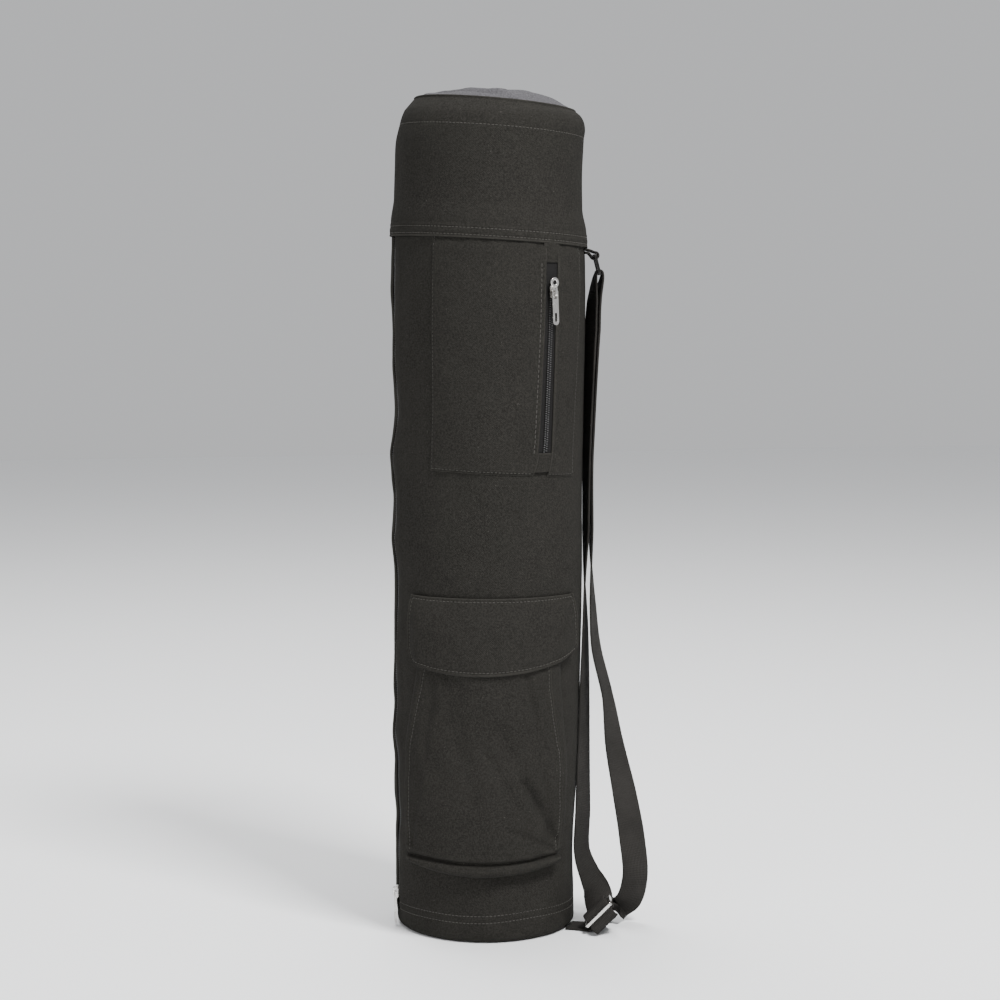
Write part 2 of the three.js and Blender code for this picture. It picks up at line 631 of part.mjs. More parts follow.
function zipPocket() {
  const line = (height) => {
    const share = pocketShare(height);
    const sum = readTable(POCKET_EDGES, 'windowLeft', share) + readTable(POCKET_EDGES, 'windowRight', share);
    return sum / 2;
  };
  const half = ZIP_TAPE_WIDTH / 2 + POCKET_HEM / 2;
  const tapeHeights = spread(POCKET_FOOT + 2 * POCKET_HEM, HEM_HEIGHT - 2 * POCKET_HEM, RIM_HEIGHT / 24);
  const strips = strip(line, FIT_GAP, FIT_GAP + ZIP_TAPE, -half, half, tapeHeights, 3);
  const chainHeights = spread(WINDOW_FOOT + FIT_GAP, POCKET_SLIDER_HEIGHT, RIM_HEIGHT / 24);
  const width = CHAIN_WIDTH / 2;
  const chainTop = tapeSeat + CHAIN;
  const chain = strip(line, tapeSeat, chainTop, -width, width, chainHeights);
  const angle = line(POCKET_SLIDER_HEIGHT);
  const hem = (at) => hemHeight(at) - FIT_GAP;
  return [
    mesh('zip_pocket_left_panel', pocketPanel('left', 'windowLeft', 'left'), canvas),
    mesh('zip_pocket_right_panel', pocketPanel('windowRight', 'right', 'right'), canvas),
    mesh('zip_pocket_top_tab', windowTab(WINDOW_TOP, hem), canvas),
    mesh('zip_pocket_foot_tab', windowTab(POCKET_FOOT + POCKET_HEM, () => WINDOW_FOOT), canvas),
    mesh('zip_pocket_tape', strips, tape),
    mesh('zip_pocket_chain', chain, coil),
    ...zipSliderAndPull('zip_pocket', angle, POCKET_SLIDER_HEIGHT, chainTop, -SLIDER_LEAN, PULL_SWAY),
  ];
}

// Cargo pocket: front and gusset in one, open at the top under the flap
function segmentDistance(fold, across, up, aspect) {
  const run = new THREE.Vector2((fold.toAcross - fold.fromAcross) * aspect, fold.toUp - fold.fromUp);
  const offset = new THREE.Vector2((across - fold.fromAcross) * aspect, up - fold.fromUp);
  const along = THREE.MathUtils.clamp(offset.dot(run) / run.lengthSq(), 0, 1);
  return offset.sub(run.multiplyScalar(along)).length() / aspect;
}

function cargoFace(across, share) {
  const read = (column) => readTable(CARGO_EDGES, column, share);
  const onLeft = across < 0.5;
  const fromSide = (onLeft ? across : 1 - across) / GUSSET;
  const quarter = Math.min(fromSide, 1) * Math.PI / 2;
  const turned = 0.15 * Math.min(fromSide, 1) + 0.85 * (1 - Math.cos(quarter));
  const left = mix(read('leftFoot'), read('left'), onLeft ? turned : 1);
  const right = mix(read('rightFoot'), read('right'), onLeft ? 1 : turned);
  const middle = THREE.MathUtils.clamp((across - GUSSET) / (1 - 2 * GUSSET), 0, 1);
  const angle = mix(left, right, middle);
  let stand = read('stand') * Math.sin(quarter);
  for (const fold of CARGO_FOLDS) {
    const reach = segmentDistance(fold, middle, share, 0.6) / fold.wide;
    stand -= fold.depth * Math.exp(-reach * reach) * smooth(0, 0.1, share) * Math.sin(quarter);
  }
  const bend = (2 * middle - 1) * (2 * middle - 1);
  const foot = CARGO_FOOT + CARGO_SAG * bend;
  return onSkin(angle, mix(foot, CARGO_MOUTH, share), SEWN_GAP + CARGO_DEPTH * stand);
}

// The pocket's inner side, held off the body
function cargoLining(across, share) {
  const place = inside(cargoFace, CANVAS)(across, share);
  const angle = THREE.MathUtils.radToDeg(Math.atan2(place.x, -place.y));
  const radius = Math.hypot(place.x, place.y);
  return polar(angle, Math.max(radius, skin(angle, place.z) + SEWN_GAP), place.z);
}

function cargoPocket() {
  const sides = [0, 0.3, 0.65].map((share) => share * GUSSET);
  const front = spread(GUSSET, 1 - GUSSET, 0.07);
  const columns = [...sides, ...front, ...sides.map((share) => 1 - share).reverse()];
  const rows = [0, 0.012, 0.032, 0.06, 0.085, 0.17, 0.28, 0.4, 0.52, 0.64, 0.76, 0.88, 1];
  return mesh('cargo_pocket', wall(columns, rows, cargoFace, cargoLining), canvas);
}

// Flap: sewn to the body along its top, resting on the cargo pocket's front
function flapFace(across, up) {
  const down = 1 - up;
  const left = readTable(FLAP_EDGES, 'left', down);
  const right = readTable(FLAP_EDGES, 'right', down);
  const angle = mix(left, right, across);
  const sag = (angle - FLAP_MIDDLE) / FLAP_HALF;
  const foot = FLAP_TOP - FLAP_DROP + FLAP_SAG * sag * sag;
  const mouth = CARGO_EDGES.at(-2);
  const overLeft = smooth(left, mouth.left, angle);
  const overRight = 1 - smooth(mouth.right, right, angle);
  const droop = mix(FLAP_SIDE, 1, Math.min(overLeft, overRight));
  const rest = CARGO_DEPTH * mouth.stand + SEWN_GAP;
  const stand = rest * droop * Math.sin(Math.min(down / 0.5, 1) * Math.PI / 2);
  return onSkin(angle, mix(FLAP_TOP, foot, down), FIT_GAP + FLAP_WALL + stand);
}

function cargoFlap() {
  const columns = spread(0, 1, 1 / 20);
  const rows = [0, 0.06, 0.14, 0.3, 0.5, 0.68, 0.86, 1];
  return mesh('cargo_flap', wall(columns, rows, flapFace, inside(flapFace, FLAP_WALL)), canvas);
}

// Strap: places beside the bag as out from the axis, towards the front, and up
const strapOut = polar(STRAP_ANGLE, 1, 0);
const strapFront = new THREE.Vector3(strapOut.y, -strapOut.x, 0);

function beside(out, front, up) {
  return new THREE.Vector3(0, 0, up).addScaledVector(strapOut, out).addScaledVector(strapFront, front);
}

// A flat strip along a smooth curve through stations, each a place and a direction across
function ribbon(stations, width, thickness, samples) {
  const curve = new THREE.CatmullRomCurve3(stations.map(({ at }) => at), false, 'centripetal');
  const spans = stations.length - 1;
  const sides = stations.map(({ across }) => across.clone().normalize());
  sides.forEach((side, index) => {
    if (index > 0 && side.dot(sides[index - 1]) < 0) side.negate();
  });
  const face = (lift) => (across, along) => {
    const span = Math.min(Math.floor(along), spans - 1);
    const tangent = curve.getTangent(along / spans);
    const side = sides[span].clone().lerp(sides[span + 1], along - span);
    side.addScaledVector(tangent, -side.dot(tangent)).normalize();
    const out = side.clone().cross(tangent);
    return curve.getPoint(along / spans).addScaledVector(side, across).addScaledVector(out, lift);
  };
  const steps = spread(0, spans, 1 / samples);
  return wall([-width / 2, width / 2], steps, face(thickness / 2), face(-thickness / 2));
}

// Ring: a rectangular loop that hangs from the top tab, with the strap round its lower bar
const tabSkin = skin(STRAP_ANGLE, hemHeight(STRAP_ANGLE));
const tabHem = hemHeight(STRAP_ANGLE) - FIT_GAP;
const ringTop = { out: tabSkin + RING_REACH, up: tabHem - RING_DROP };
const ringFoot = {
  out: ringTop.out + RING_HEIGHT * Math.sin(radians(RING_LEAN)),
  up: ringTop.up - RING_HEIGHT * Math.cos(radians(RING_LEAN)),
};
const ringWrap = RING_WIRE * Math.SQRT1_2 + FIT_GAP + STRAP_WALL / 2;
const insideWidth = STRAP_WIDTH + 2 * STRAP_PLAY;

function rectangle(width, height, corner) {
  return roundedOutline(-width / 2, width / 2, -height / 2, height / 2, corner, corner);
}

function strapRing() {
  const shape = rectangle(insideWidth + 2 * RING_WIRE, RING_HEIGHT + RING_WIRE, RING_WIRE);
  shape.holes.push(rectangle(insideWidth, RING_HEIGHT - RING_WIRE, 0.5));
  const ring = mesh('strap_ring', plate(shape, RING_WIRE), blackMetal);
  const middle = beside((ringTop.out + ringFoot.out) / 2, 0, (ringTop.up + ringFoot.up) / 2);
  const upward = beside(ringTop.out - ringFoot.out, 0, ringTop.up - ringFoot.up).normalize();
  const frame = new THREE.Matrix4().makeBasis(strapFront, upward, strapFront.clone().cross(upward));
  ring.quaternion.setFromRotationMatrix(frame);
  ring.position.copy(middle);
  return ring;
}

function roundBar(centre, radius, fromDegrees, toDegrees, count) {
  return spread(fromDegrees, toDegrees, Math.abs(toDegrees - fromDegrees) / count).map((degrees) => ({
    out: centre.out + radius * Math.cos(radians(degrees)),
    up: centre.up + radius * Math.sin(radians(degrees)),
  }));
}

function topTab() {
  const seat = tabSkin + 2 * FIT_GAP;
  const under = tabHem - STRAP_WALL / 2 - FIT_GAP;
  const route = [
    { out: seat, up: under },
    { out: mix(seat, ringTop.out, 0.45), up: under - STRAP_WALL / 4 },
    ...roundBar(ringTop, ringWrap, 100, -100, 5),
    { out: mix(seat, ringTop.out, 0.5), up: ringTop.up - ringWrap },
    { out: seat, up: ringTop.up - ringWrap },
  ];
  const stations = route.map(({ out, up }) => ({ at: beside(out, 0, up), across: strapFront }));
  return mesh('strap_top_tab', ribbon(stations, STRAP_WIDTH, STRAP_WALL, 2), webbing);
}

// Slider: three bars across the strap, tilted up at its outer end
const glideAcross = beside(Math.cos(radians(GLIDE_TILT)), 0, Math.sin(radians(GLIDE_TILT)));
const glideAlong = strapFront.clone().negate();
const glideUp = glideAcross.clone().cross(glideAlong);

function atGlide(along, up) {
  const centre = beside(GLIDE_OUT, GLIDE_FRONT, GLIDE_LIFT);
  return centre.addScaledVector(glideAlong, along).addScaledVector(glideUp, up);
}

function strapSlider() {
  const width = insideWidth + 2 * GLIDE_SIDE;
  const shape = rectangle(width, 2 * GLIDE_PITCH + GLIDE_BAR, GLIDE_SIDE);
  for (const side of [-1, 1]) {
    const middle = (side * GLIDE_PITCH) / 2;
    const reach = (GLIDE_PITCH - GLIDE_BAR) / 2;
    const half = insideWidth / 2;
    shape.holes.push(roundedOutline(-half, half, middle - reach, middle + reach, 0.5, 0.5));
  }
  const slider = mesh('strap_slider', plate(shape, GLIDE_PLATE), nickel);
  slider.quaternion.setFromRotationMatrix(new THREE.Matrix4().makeBasis(glideAcross, glideAlong, glideUp));
  slider.position.copy(atGlide(0, 0));
  return slider;
}

// The webbing: sewn in at the bag's foot, through the slider, up to the ring, round its lower bar,
// down again and round the slider's middle bar, with its end doubled back
function strapWebbing() {
  const layer = STRAP_WALL + FIT_GAP;
  const half = STRAP_WALL / 2;
  const loop = Math.hypot(GLIDE_BAR, GLIDE_PLATE) / 2 + FIT_GAP + half;
  const over = loop + layer + FIT_GAP;
  const under = GLIDE_PLATE / 2 + 2 * FIT_GAP + half;
  const end = under + layer + 0.5;
  const arrive = end + layer;
  const pitch = GLIDE_PITCH;
  const exit = 1.5 * pitch;
  const back = 1.2 * pitch;
  const turn = 1.75 * layer;
  const across = glideAcross;
  const glide = (places) => places.map(([along, up]) => ({ at: atGlide(along, up), across }));
  const route = (rows) => rows.map((row) => ({
    at: beside(row.out * BAG_RADIUS, row.front * BAG_RADIUS, row.height * RIM_HEIGHT),
    across: beside(...row.across),
  }));
  const rise = STRAP_WALL + FIT_GAP;
  const foot = bodyFace(TAIL_ANGLE, rise);
  const seat = polar(TAIL_ANGLE, Math.hypot(foot.x, foot.y) + FIT_GAP, half + FIT_GAP);
  const start = [{ at: seat, across: polar(TAIL_ANGLE - 90, 1, 0) }];
  const foldBack = glide([
    [-back, -under - 2 * turn],
    [-back - 0.7 * turn, -under - 1.7 * turn],
    [-back - turn, -under - turn],
    [-back - 0.7 * turn, -under - 0.3 * turn],
  ]);
  const through = glide([
    [-back, -under],
    [-pitch, -under],
    [-0.775 * pitch, -under],
    [-0.6 * pitch, 0.05 * pitch],
    [-0.38 * pitch, over * 0.82],
    [0, over],
    [0.38 * pitch, over * 0.82],
    [0.6 * pitch, 0.05 * pitch],
    [0.775 * pitch, -under],
    [pitch, -under],
    [exit, -under],
  ]);
  const roundRing = roundBar(ringFoot, ringWrap, 180, 0, 4).map(({ out, up }) => ({
    at: beside(out, 0, up),
    across: strapFront,
  }));
  const roundMiddle = roundBar({ out: 0, up: 0 }, loop, 270, 0, 6).map(({ out, up }) => [out, up]);
  const sewn = glide([
    [exit, -arrive],
    [0.67 * pitch, -arrive],
    [0.3 * pitch, -loop - 0.8 * layer],
    ...roundMiddle,
    [0.38 * pitch, -under],
    [0.67 * pitch, -end],
    [1.25 * pitch, -end],
  ]);
  const stations = [
    ...start,
    ...route(TAIL_ROUTE),
    ...foldBack,
    ...through,
    ...route(INNER_ROUTE),
    ...roundRing,
    ...route(OUTER_ROUTE),
    ...sewn,
  ];
  return mesh('strap_webbing', ribbon(stations, STRAP_WIDTH, STRAP_WALL, 2), webbing);
}

const bag = new THREE.Group();
bag.name = 'yoga_mat_bag';
bag.add(topDisc(), topBand(), bodyPanel(), bottomDisc());
bag.add(...mainZip(), ...zipPocket());
bag.add(cargoPocket(), cargoFlap());
bag.add(topTab(), strapRing(), strapSlider(), strapWebbing());

export default bag;
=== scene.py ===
# %% [markdown]
# # A canvas bag for a yoga mat
# The bag is a tall tube of dark canvas that stands upright by itself. It has a closed top band,
# a long zip down its left side, a zip pocket and a cargo pocket on its front, and a shoulder
# strap on its right. Soft goods like these can be simulated, sculpted or lofted from measured
# outlines. The bag keeps one settled shape, so every cloth piece here is lofted: a grid of
# points on a measured surface, given a wall and its own seams, stitches and folds.

import bpy
import numpy as np
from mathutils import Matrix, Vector


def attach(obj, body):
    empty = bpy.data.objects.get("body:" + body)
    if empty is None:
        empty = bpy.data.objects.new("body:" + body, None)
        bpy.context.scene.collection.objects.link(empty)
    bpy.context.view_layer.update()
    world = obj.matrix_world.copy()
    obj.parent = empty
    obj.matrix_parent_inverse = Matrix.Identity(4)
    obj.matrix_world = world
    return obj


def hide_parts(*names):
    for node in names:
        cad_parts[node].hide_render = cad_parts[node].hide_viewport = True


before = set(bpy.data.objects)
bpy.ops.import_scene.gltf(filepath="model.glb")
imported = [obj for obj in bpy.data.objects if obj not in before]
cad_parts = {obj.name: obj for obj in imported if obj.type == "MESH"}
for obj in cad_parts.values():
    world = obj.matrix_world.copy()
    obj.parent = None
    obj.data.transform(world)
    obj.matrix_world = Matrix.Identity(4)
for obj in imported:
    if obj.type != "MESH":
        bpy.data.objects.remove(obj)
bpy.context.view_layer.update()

# %% [markdown]
# The camera comes first, because every later choice is judged through it. It stands two metres
# from the bag, a little to the left of the front and above the middle, and looks slightly down.
# A long lens keeps the sides of the tube nearly parallel.

# %% Camera


def add_object(name, data):
    piece = bpy.data.objects.new(name, data)
    bpy.context.scene.collection.objects.link(piece)
    return piece


camera_data = bpy.data.cameras.new("camera")
camera_data.lens = 83.2
camera_data.sensor_width = 36
camera = add_object("camera", camera_data)
bpy.context.scene.camera = camera
camera.location = (-0.4158, -1.9563, 0.547)
camera_turn = np.radians(-12 - 0.32)
camera_pitch = np.radians(5.01)
looking = Vector((
    -np.sin(camera_turn) * np.cos(camera_pitch),
    np.cos(camera_turn) * np.cos(camera_pitch),
    -np.sin(camera_pitch),
))
camera.rotation_mode = "QUATERNION"
camera.rotation_quaternion = looking.to_track_quat("-Z", "Y")
camera_data.clip_start, camera_data.clip_end = 0.05, 50

# %% [markdown]
# A pale floor and three broad lamps make a plain studio. Broad lamps give soft shadows, which
# suit matt cloth: small ones would turn each thread into glare. The side lamps are uneven, so
# that the tube reads as round.

# %% Floor and lights
bpy.ops.mesh.primitive_plane_add(size=12, location=(0, 0, 0))
floor = bpy.context.active_object
floor.name = "floor"


def area_lamp(name, place, aim, size, power):
    lamp = bpy.data.lights.new(name, "AREA")
    lamp.size, lamp.energy = size, power
    holder = add_object(name, lamp)
    holder.location = place
    holder.rotation_euler = (Vector(aim) - Vector(place)).to_track_quat("-Z", "Y").to_euler()


area_lamp("key", (0.75, -1.5, 2.5), (0, 0, 0.35), 0.7, 125)
area_lamp("fill", (-2.4, -1.9, 1.3), (0, 0, 0.35), 1.6, 26)
area_lamp("top", (-0.2, 0.9, 2.8), (0, 0, 0.4), 1.6, 70)
world = bpy.data.worlds.new("world")
bpy.context.scene.world = world
world.use_nodes = True
sky = world.node_tree.nodes["Background"].inputs
sky["Color"].default_value, sky["Strength"].default_value = (0.93, 0.94, 0.96, 1), 0.62

# %% [markdown]
# Every cloth piece follows one measured skin: the radius of the filled bag at an angle and a
# height. Tables hold the measurements, and a smooth curve runs through their rows. Working in
# millimetres and degrees keeps the numbers readable. 0 degrees is the front, 90 the right side
# and -90 the left side.

# %% Measurements
MM = 0.001
RADIUS, RIM = 82.5, 706.0
CANVAS, GAP = 1.5, 0.3
HEM, HEM_TILT, HEM_LAP = 594.0, 5.0, 14.0
ZIP_ANGLE, ZIP_FOOT, ZIP_OPENING = -90.0, 14.0, 9.0
POCKET_FOOT, POCKET_TILT = 399.0, 4.5
WINDOW_TOP, WINDOW_FOOT, SLIDER_HEIGHT = 576.0, 417.0, 552.0
CARGO_FOOT, CARGO_MOUTH, CARGO_SAG, CARGO_DEPTH, GUSSET = 57.0, 262.0, 6.0, 10.5, 0.09
FLAP_TOP, FLAP_DROP, FLAP_SAG, FLAP_WALL, FLAP_SIDE = 296.0, 65.0, 14.0, 2.2, 0.55
STRAP_ANGLE, STRAP_WIDTH, STRAP_WALL = 78.0, 25.0, 1.8


def rows(names, *lines):
    return dict(zip(names.split(), np.array(lines, float).T))


SECTIONS = rows(
    "at left right",
    (0.0, 0.957, 0.92), (0.05, 0.962, 0.915), (0.1, 0.952, 0.91), (0.2, 0.972, 0.955),
    (0.3, 0.984, 0.98), (0.43, 0.972, 1.0), (0.53, 0.978, 0.998), (0.65, 0.975, 1.012),
    (0.77, 0.98, 1.028), (0.84, 0.982, 1.018), (0.88, 0.972, 0.995), (0.92, 0.962, 0.99),
    (0.963, 0.943, 1.005), (0.98, 0.912, 1.018), (0.992, 0.884, 0.98), (1.0, 0.855, 0.9),
)
FOLDS = rows(
    "angle wide height tall depth",
    (-92, 26, 0.585, 0.022, 0.034), (-92, 26, 0.478, 0.02, 0.028), (-92, 24, 0.24, 0.024, 0.034),
    (-92, 22, 0.7, 0.02, 0.012), (-92, 22, 0.64, 0.02, -0.012), (-92, 22, 0.53, 0.018, -0.012),
    (-90, 22, 0.135, 0.02, -0.012), (150, 30, 0.3, 0.05, -0.02), (190, 34, 0.62, 0.05, -0.018),
    (215, 24, 0.42, 0.03, 0.016),
)
POCKET_EDGES = rows(
    "at left window_left window_right right",
    (0.0, -48, 16, 25.6, 49), (0.09, -47.5, 18.8, 27.7, 49.5), (0.37, -47, 20.9, 29, 51.5),
    (0.64, -46.5, 22.5, 29.9, 53.5), (1.0, -45.5, 23.5, 31.8, 55.5),
)
CARGO_EDGES = rows(
    "at left_foot left right right_foot stand",
    (0.0, -64, -60, 32, 37, 0.0), (0.012, -66, -61, 33, 38, 0.72), (0.032, -68, -63, 34, 39, 0.97),
    (0.06, -68.5, -64, 34, 40, 0.78), (0.085, -69, -64, 34, 40, 0.95),
    (0.3, -68, -62.5, 34, 42, 0.95), (0.55, -65, -59, 31, 41, 0.92),
    (0.8, -58, -51, 25, 36, 0.86), (1.0, -54, -46, 24, 34, 0.8),
)
FLAP_EDGES = rows(
    "at left right",
    (0.0, -63.5, 47), (0.5, -62.5, 47), (0.78, -62, 47.6), (0.93, -60, 47), (1.0, -56.5, 44.5),
)


def read(table, column, value):
    """One column of a table at some values, along a smooth curve through its rows."""
    at, held = table["at"], table[column]
    value = np.clip(np.asarray(value, float), at[0], at[-1])
    row = np.clip(np.searchsorted(at, value, side="left") - 1, 0, len(at) - 2)
    before, after = np.maximum(row - 1, 0), np.minimum(row + 2, len(at) - 1)
    span = at[row + 1] - at[row]
    share = (value - at[row]) / span
    slope_here = (held[row + 1] - held[before]) / (at[row + 1] - at[before]) * span
    slope_next = (held[after] - held[row]) / (at[after] - at[row]) * span
    curve = share**2 * (3 - 2 * share) * (held[row + 1] - held[row])
    leave = share * (1 - share) ** 2 * slope_here
    return held[row] + curve + leave + share**2 * (share - 1) * slope_next


def smooth(start, end, value):
    share = np.clip((np.asarray(value, float) - start) / (end - start), 0, 1)
    return share * share * (3 - 2 * share)


def mix(first, second, share):
    return first + (second - first) * share


def bell(value, wide):
    return np.exp(-((value / wide) ** 2))


def groove(distance, depth=0.4, wide=0.9):
    return -depth * bell(distance, wide)


def round_edge(distance, radius):
    """How far a rounded edge lies inside its flat face, at a distance in from the rim."""
    return radius - np.sqrt(np.maximum(0, radius**2 - np.maximum(0, radius - distance) ** 2))


def unit(vectors):
    return vectors / np.linalg.norm(vectors, axis=-1, keepdims=True)


def running(places):
    """Length walked so far at each point of a line."""
    return np.concatenate([[0], np.linalg.norm(np.diff(places, axis=0), axis=1).cumsum()])


def polar(angle, radius, height):
    angle, radius, height = np.broadcast_arrays(np.radians(angle), radius, height)
    return np.stack([radius * np.sin(angle), -radius * np.cos(angle), height], -1)


# %% [markdown]
# Cloth is never quite smooth. A sum of soft waves with fixed random directions gives gentle
# rumples that are the same at every run. The waves are read on the plain tube in space, so they
# meet again without a seam round the back. Pieces that lie on the body share its rumples, which
# keeps one layer from cutting into another.

# %% Skin of the bag
dice = np.random.default_rng(7)
WAVES = 26


def wave_set(size):
    turn = unit(dice.normal(size=(WAVES, 3)))
    pace = 2 * np.pi / (size * dice.uniform(0.7, 1.7, WAVES))
    return turn * pace[:, None], dice.uniform(0, 2 * np.pi, WAVES)


def soft_waves(waves, places):
    turn, start = waves
    return np.cos(places @ turn.T + start).sum(-1) * np.sqrt(2 / WAVES)


BROAD, MIDDLING, SMALL = wave_set(95), wave_set(42), wave_set(16)


# Places where the cloth is held flat by a hard piece: angle, reach, height, reach
HELD_FLAT = ((-90, 14, 26, 30), (25.5, 13, 500, 95), (76, 17, 330, 380), (60, 16, 0, 14))


def rumple(angle, height):
    places = polar(angle, RADIUS, height) * (1, 1, 0.75)
    calm = mix(0.45, 1, smooth(HEM + 10, HEM - 40, height))
    for at, wide, up, tall in HELD_FLAT:
        turn = ((angle - at + 180) % 360 - 180) / wide
        calm = calm * (1 - np.exp(-(turn**2) - ((height - up) / tall) ** 4))
    broad = 0.6 * soft_waves(BROAD, places) + 0.26 * soft_waves(MIDDLING, places)
    return calm * broad + 0.05 * soft_waves(SMALL, places)


def skin(angle, height):
    angle, height = np.broadcast_arrays(np.asarray(angle, float), np.asarray(height, float))
    share = np.clip(height / RIM, 0, 1)
    rightward = (1 + np.cos(np.radians(angle - 76))) / 2
    radius = mix(read(SECTIONS, "left", share), read(SECTIONS, "right", share), rightward)
    for at, wide, up, tall, depth in zip(*FOLDS.values()):
        turn = np.abs((angle - at + 180) % 360 - 180) / wide
        radius = radius + depth * np.exp(-(turn**2) - ((share - up) / tall) ** 2)
    return RADIUS * radius + rumple(angle, height)


def on_skin(angle, height, off=0.0):
    return polar(angle, skin(angle, height) + off, height)


def hem_height(angle):
    return HEM - HEM_TILT * np.sin(np.radians(angle))


print("skin radius at front, right, back, left:", skin([0, 90, 180, -90], 350).round(1))

# %% [markdown]
# One small builder makes all the cloth. It takes a grid of points, joins them into faces and
# stores the flat length of each cell as the UV map, in metres, so that a weave has the same
# size on every piece. A Solidify modifier then gives the grid its wall. Modelling the inside
# by hand would double the work and show nothing more.

# %% Cloth builder


def flat_lengths(grid):
    """Place of each grid point on the flat cloth: mean running lengths along both ways."""
    across = np.linalg.norm(np.diff(grid, axis=1), axis=2).mean(0)
    up = np.linalg.norm(np.diff(grid, axis=0), axis=2).mean(1)
    return np.concatenate([[0], across.cumsum()]), np.concatenate([[0], up.cumsum()])


def apply_modifier(piece, kind, **settings):
    modifier = piece.modifiers.new(kind.lower(), kind)
    for setting, value in settings.items():
        setattr(modifier, setting, value)
    bpy.context.view_layer.objects.active = piece
    bpy.ops.object.modifier_apply(modifier=modifier.name)


def new_mesh(name, points, faces, material, corners=None):
    mesh = bpy.data.meshes.new(name)
    mesh.from_pydata((np.asarray(points) * MM).tolist(), [], faces)
    piece = add_object(name, mesh)
    mesh.materials.append(material)
    mesh.polygons.foreach_set("use_smooth", [True] * len(mesh.polygons))
    if corners is not None:
        layer = mesh.uv_layers.new(name="flat")
        layer.data.foreach_set("uv", np.asarray(corners, float).ravel() * MM)
    return piece


def on_grid(face, across, up):
    return face(*np.meshgrid(across, up))


def cloth(name, grid, material, *nodes, wall=CANVAS, ring=False, keep=None):
    """A cloth piece from a grid of outer points, in place of some plain nodes of the part."""
    up, across = grid.shape[:2]
    closed = np.concatenate([grid, grid[:, :1]], 1) if ring else grid
    u, v = flat_lengths(closed)
    columns = across if ring else across - 1
    faces, corners = [], []
    for r in range(up - 1):
        for c in range(columns):
            if keep is not None and not keep(r, c):
                continue
            n = (c + 1) % across
            faces.append((r * across + c, r * across + n, (r + 1) * across + n, (r + 1) * across + c))
            corners += [(u[c], v[r]), (u[c + 1], v[r]), (u[c + 1], v[r + 1]), (u[c], v[r + 1])]
    piece = new_mesh(name, grid.reshape(-1, 3), faces, material, corners)
    apply_modifier(piece, "SOLIDIFY", thickness=wall * MM, offset=-1, use_even_offset=False)
    mark_wear_and_highlight(piece)
    finish_piece(piece, SLOTS[material], *nodes)
    print(name, len(piece.data.polygons), "faces")


def finish_piece(piece, slot, *nodes):
    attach(piece, "root")
    if nodes:
        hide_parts(*nodes)


def spread(start, end, step):
    return np.linspace(start, end, max(2, int(np.ceil(abs(end - start) / step)) + 1))


# %% [markdown]
# Materials are built from small sums, so one class wraps a shader value: its operators add Math
# nodes and make() adds any other node. This keeps a formula on one line and readable, where a
# drawn node tree would spread it out. Patterns that belong to the cloth read the flat UV map,
# and patches of fading read the place in space, so they run on from one piece to the next.

# %% Shader values


class Shade:
    """A value in a material's node tree."""

    def __init__(self, tree, socket):
        self.tree, self.socket = tree, socket

    def make(self, kind, inputs, out=0, **settings):
        node = self.tree.nodes.new(kind)
        for setting, value in settings.items():
            setattr(node, setting, value)
        for name, value in inputs.items():
            if isinstance(value, Shade):
                self.tree.links.new(value.socket, node.inputs[name])
            else:
                node.inputs[name].default_value = value
        return Shade(self.tree, node.outputs[out])

    def math(self, operation, *others):
        return self.make("ShaderNodeMath", dict(enumerate([self, *others])), operation=operation)

    def __add__(self, other):
        return self.math("ADD", other)

    def __sub__(self, other):
        return self.math("SUBTRACT", other)

    def __mul__(self, other):
        return self.math("MULTIPLY", other)

    def sine(self):
        return self.math("SINE")

    def limited(self, low, high, to_low=0.0, to_high=1.0):
        """The value's place between two limits, smoothly, on a new range."""
        inputs = {"Value": self, "From Min": low, "From Max": high, "To Min": to_low, "To Max": to_high}
        return self.make("ShaderNodeMapRange", inputs, interpolation_type="SMOOTHSTEP")

    def noise(self, scale, detail=2.0, rough=0.5):
        inputs = {"Vector": self, "Scale": scale, "Detail": detail, "Roughness": rough}
        return self.make("ShaderNodeTexNoise", inputs)

    def stretched(self, x, y, z=1.0):
        inputs = {0: self, 1: (x, y, z)}
        return self.make("ShaderNodeVectorMath", inputs, operation="MULTIPLY")

    def axis(self, name):
        return self.make("ShaderNodeSeparateXYZ", {"Vector": self}, out=name)

    def blend(self, first, second):
        """A colour between two others, with this value as the share of the second."""
        inputs = {0: self, 6: first, 7: second}
        return self.make("ShaderNodeMix", inputs, out=2, data_type="RGBA")


def new_material(name, colour, rough, metal=0.0, specular=0.5):
    """A material, its shader, and the flat and spatial coordinates as values."""
    material = bpy.data.materials.new(name)
    material.use_nodes = True
    tree = material.node_tree
    shader = tree.nodes["Principled BSDF"]
    shader.inputs["Base Color"].default_value = (*colour, 1)
    shader.inputs["Roughness"].default_value = rough
    shader.inputs["Metallic"].default_value = metal
    shader.inputs["Specular IOR Level"].default_value = specular
    coordinates = tree.nodes.new("ShaderNodeTexCoord")
    flat = Shade(tree, coordinates.outputs["UV"])
    space = Shade(tree, coordinates.outputs["Object"])
    return material, shader, flat, space


def wire(shader, **values):
    for name, value in values.items():
        value.tree.links.new(value.socket, shader.inputs[name.replace("_", " ")])


def bump(height, strength, distance):
    inputs = {"Height": height, "Strength": strength, "Distance": distance}
    return height.make("ShaderNodeBump", inputs)


# %% [markdown]
# Canvas is a plain weave: each thread goes over one and under the next. The product of two sines
# gives that checkered relief, and a little noise bends the threads so that no rows line up too
# well. The weave's hollows are darkened as painted shade, and the slubs vary the tone. Edges bent
# outwards are paler, partly from wear and partly as a painted highlight, and a few specks of lint
# sit on the surface. Cloth is nearly matt, so its specular level is low.

# %% Canvas, webbing and zip tape


def grown(colour, by):
    return tuple(min(1.0, channel * by) for channel in colour) + (1,)


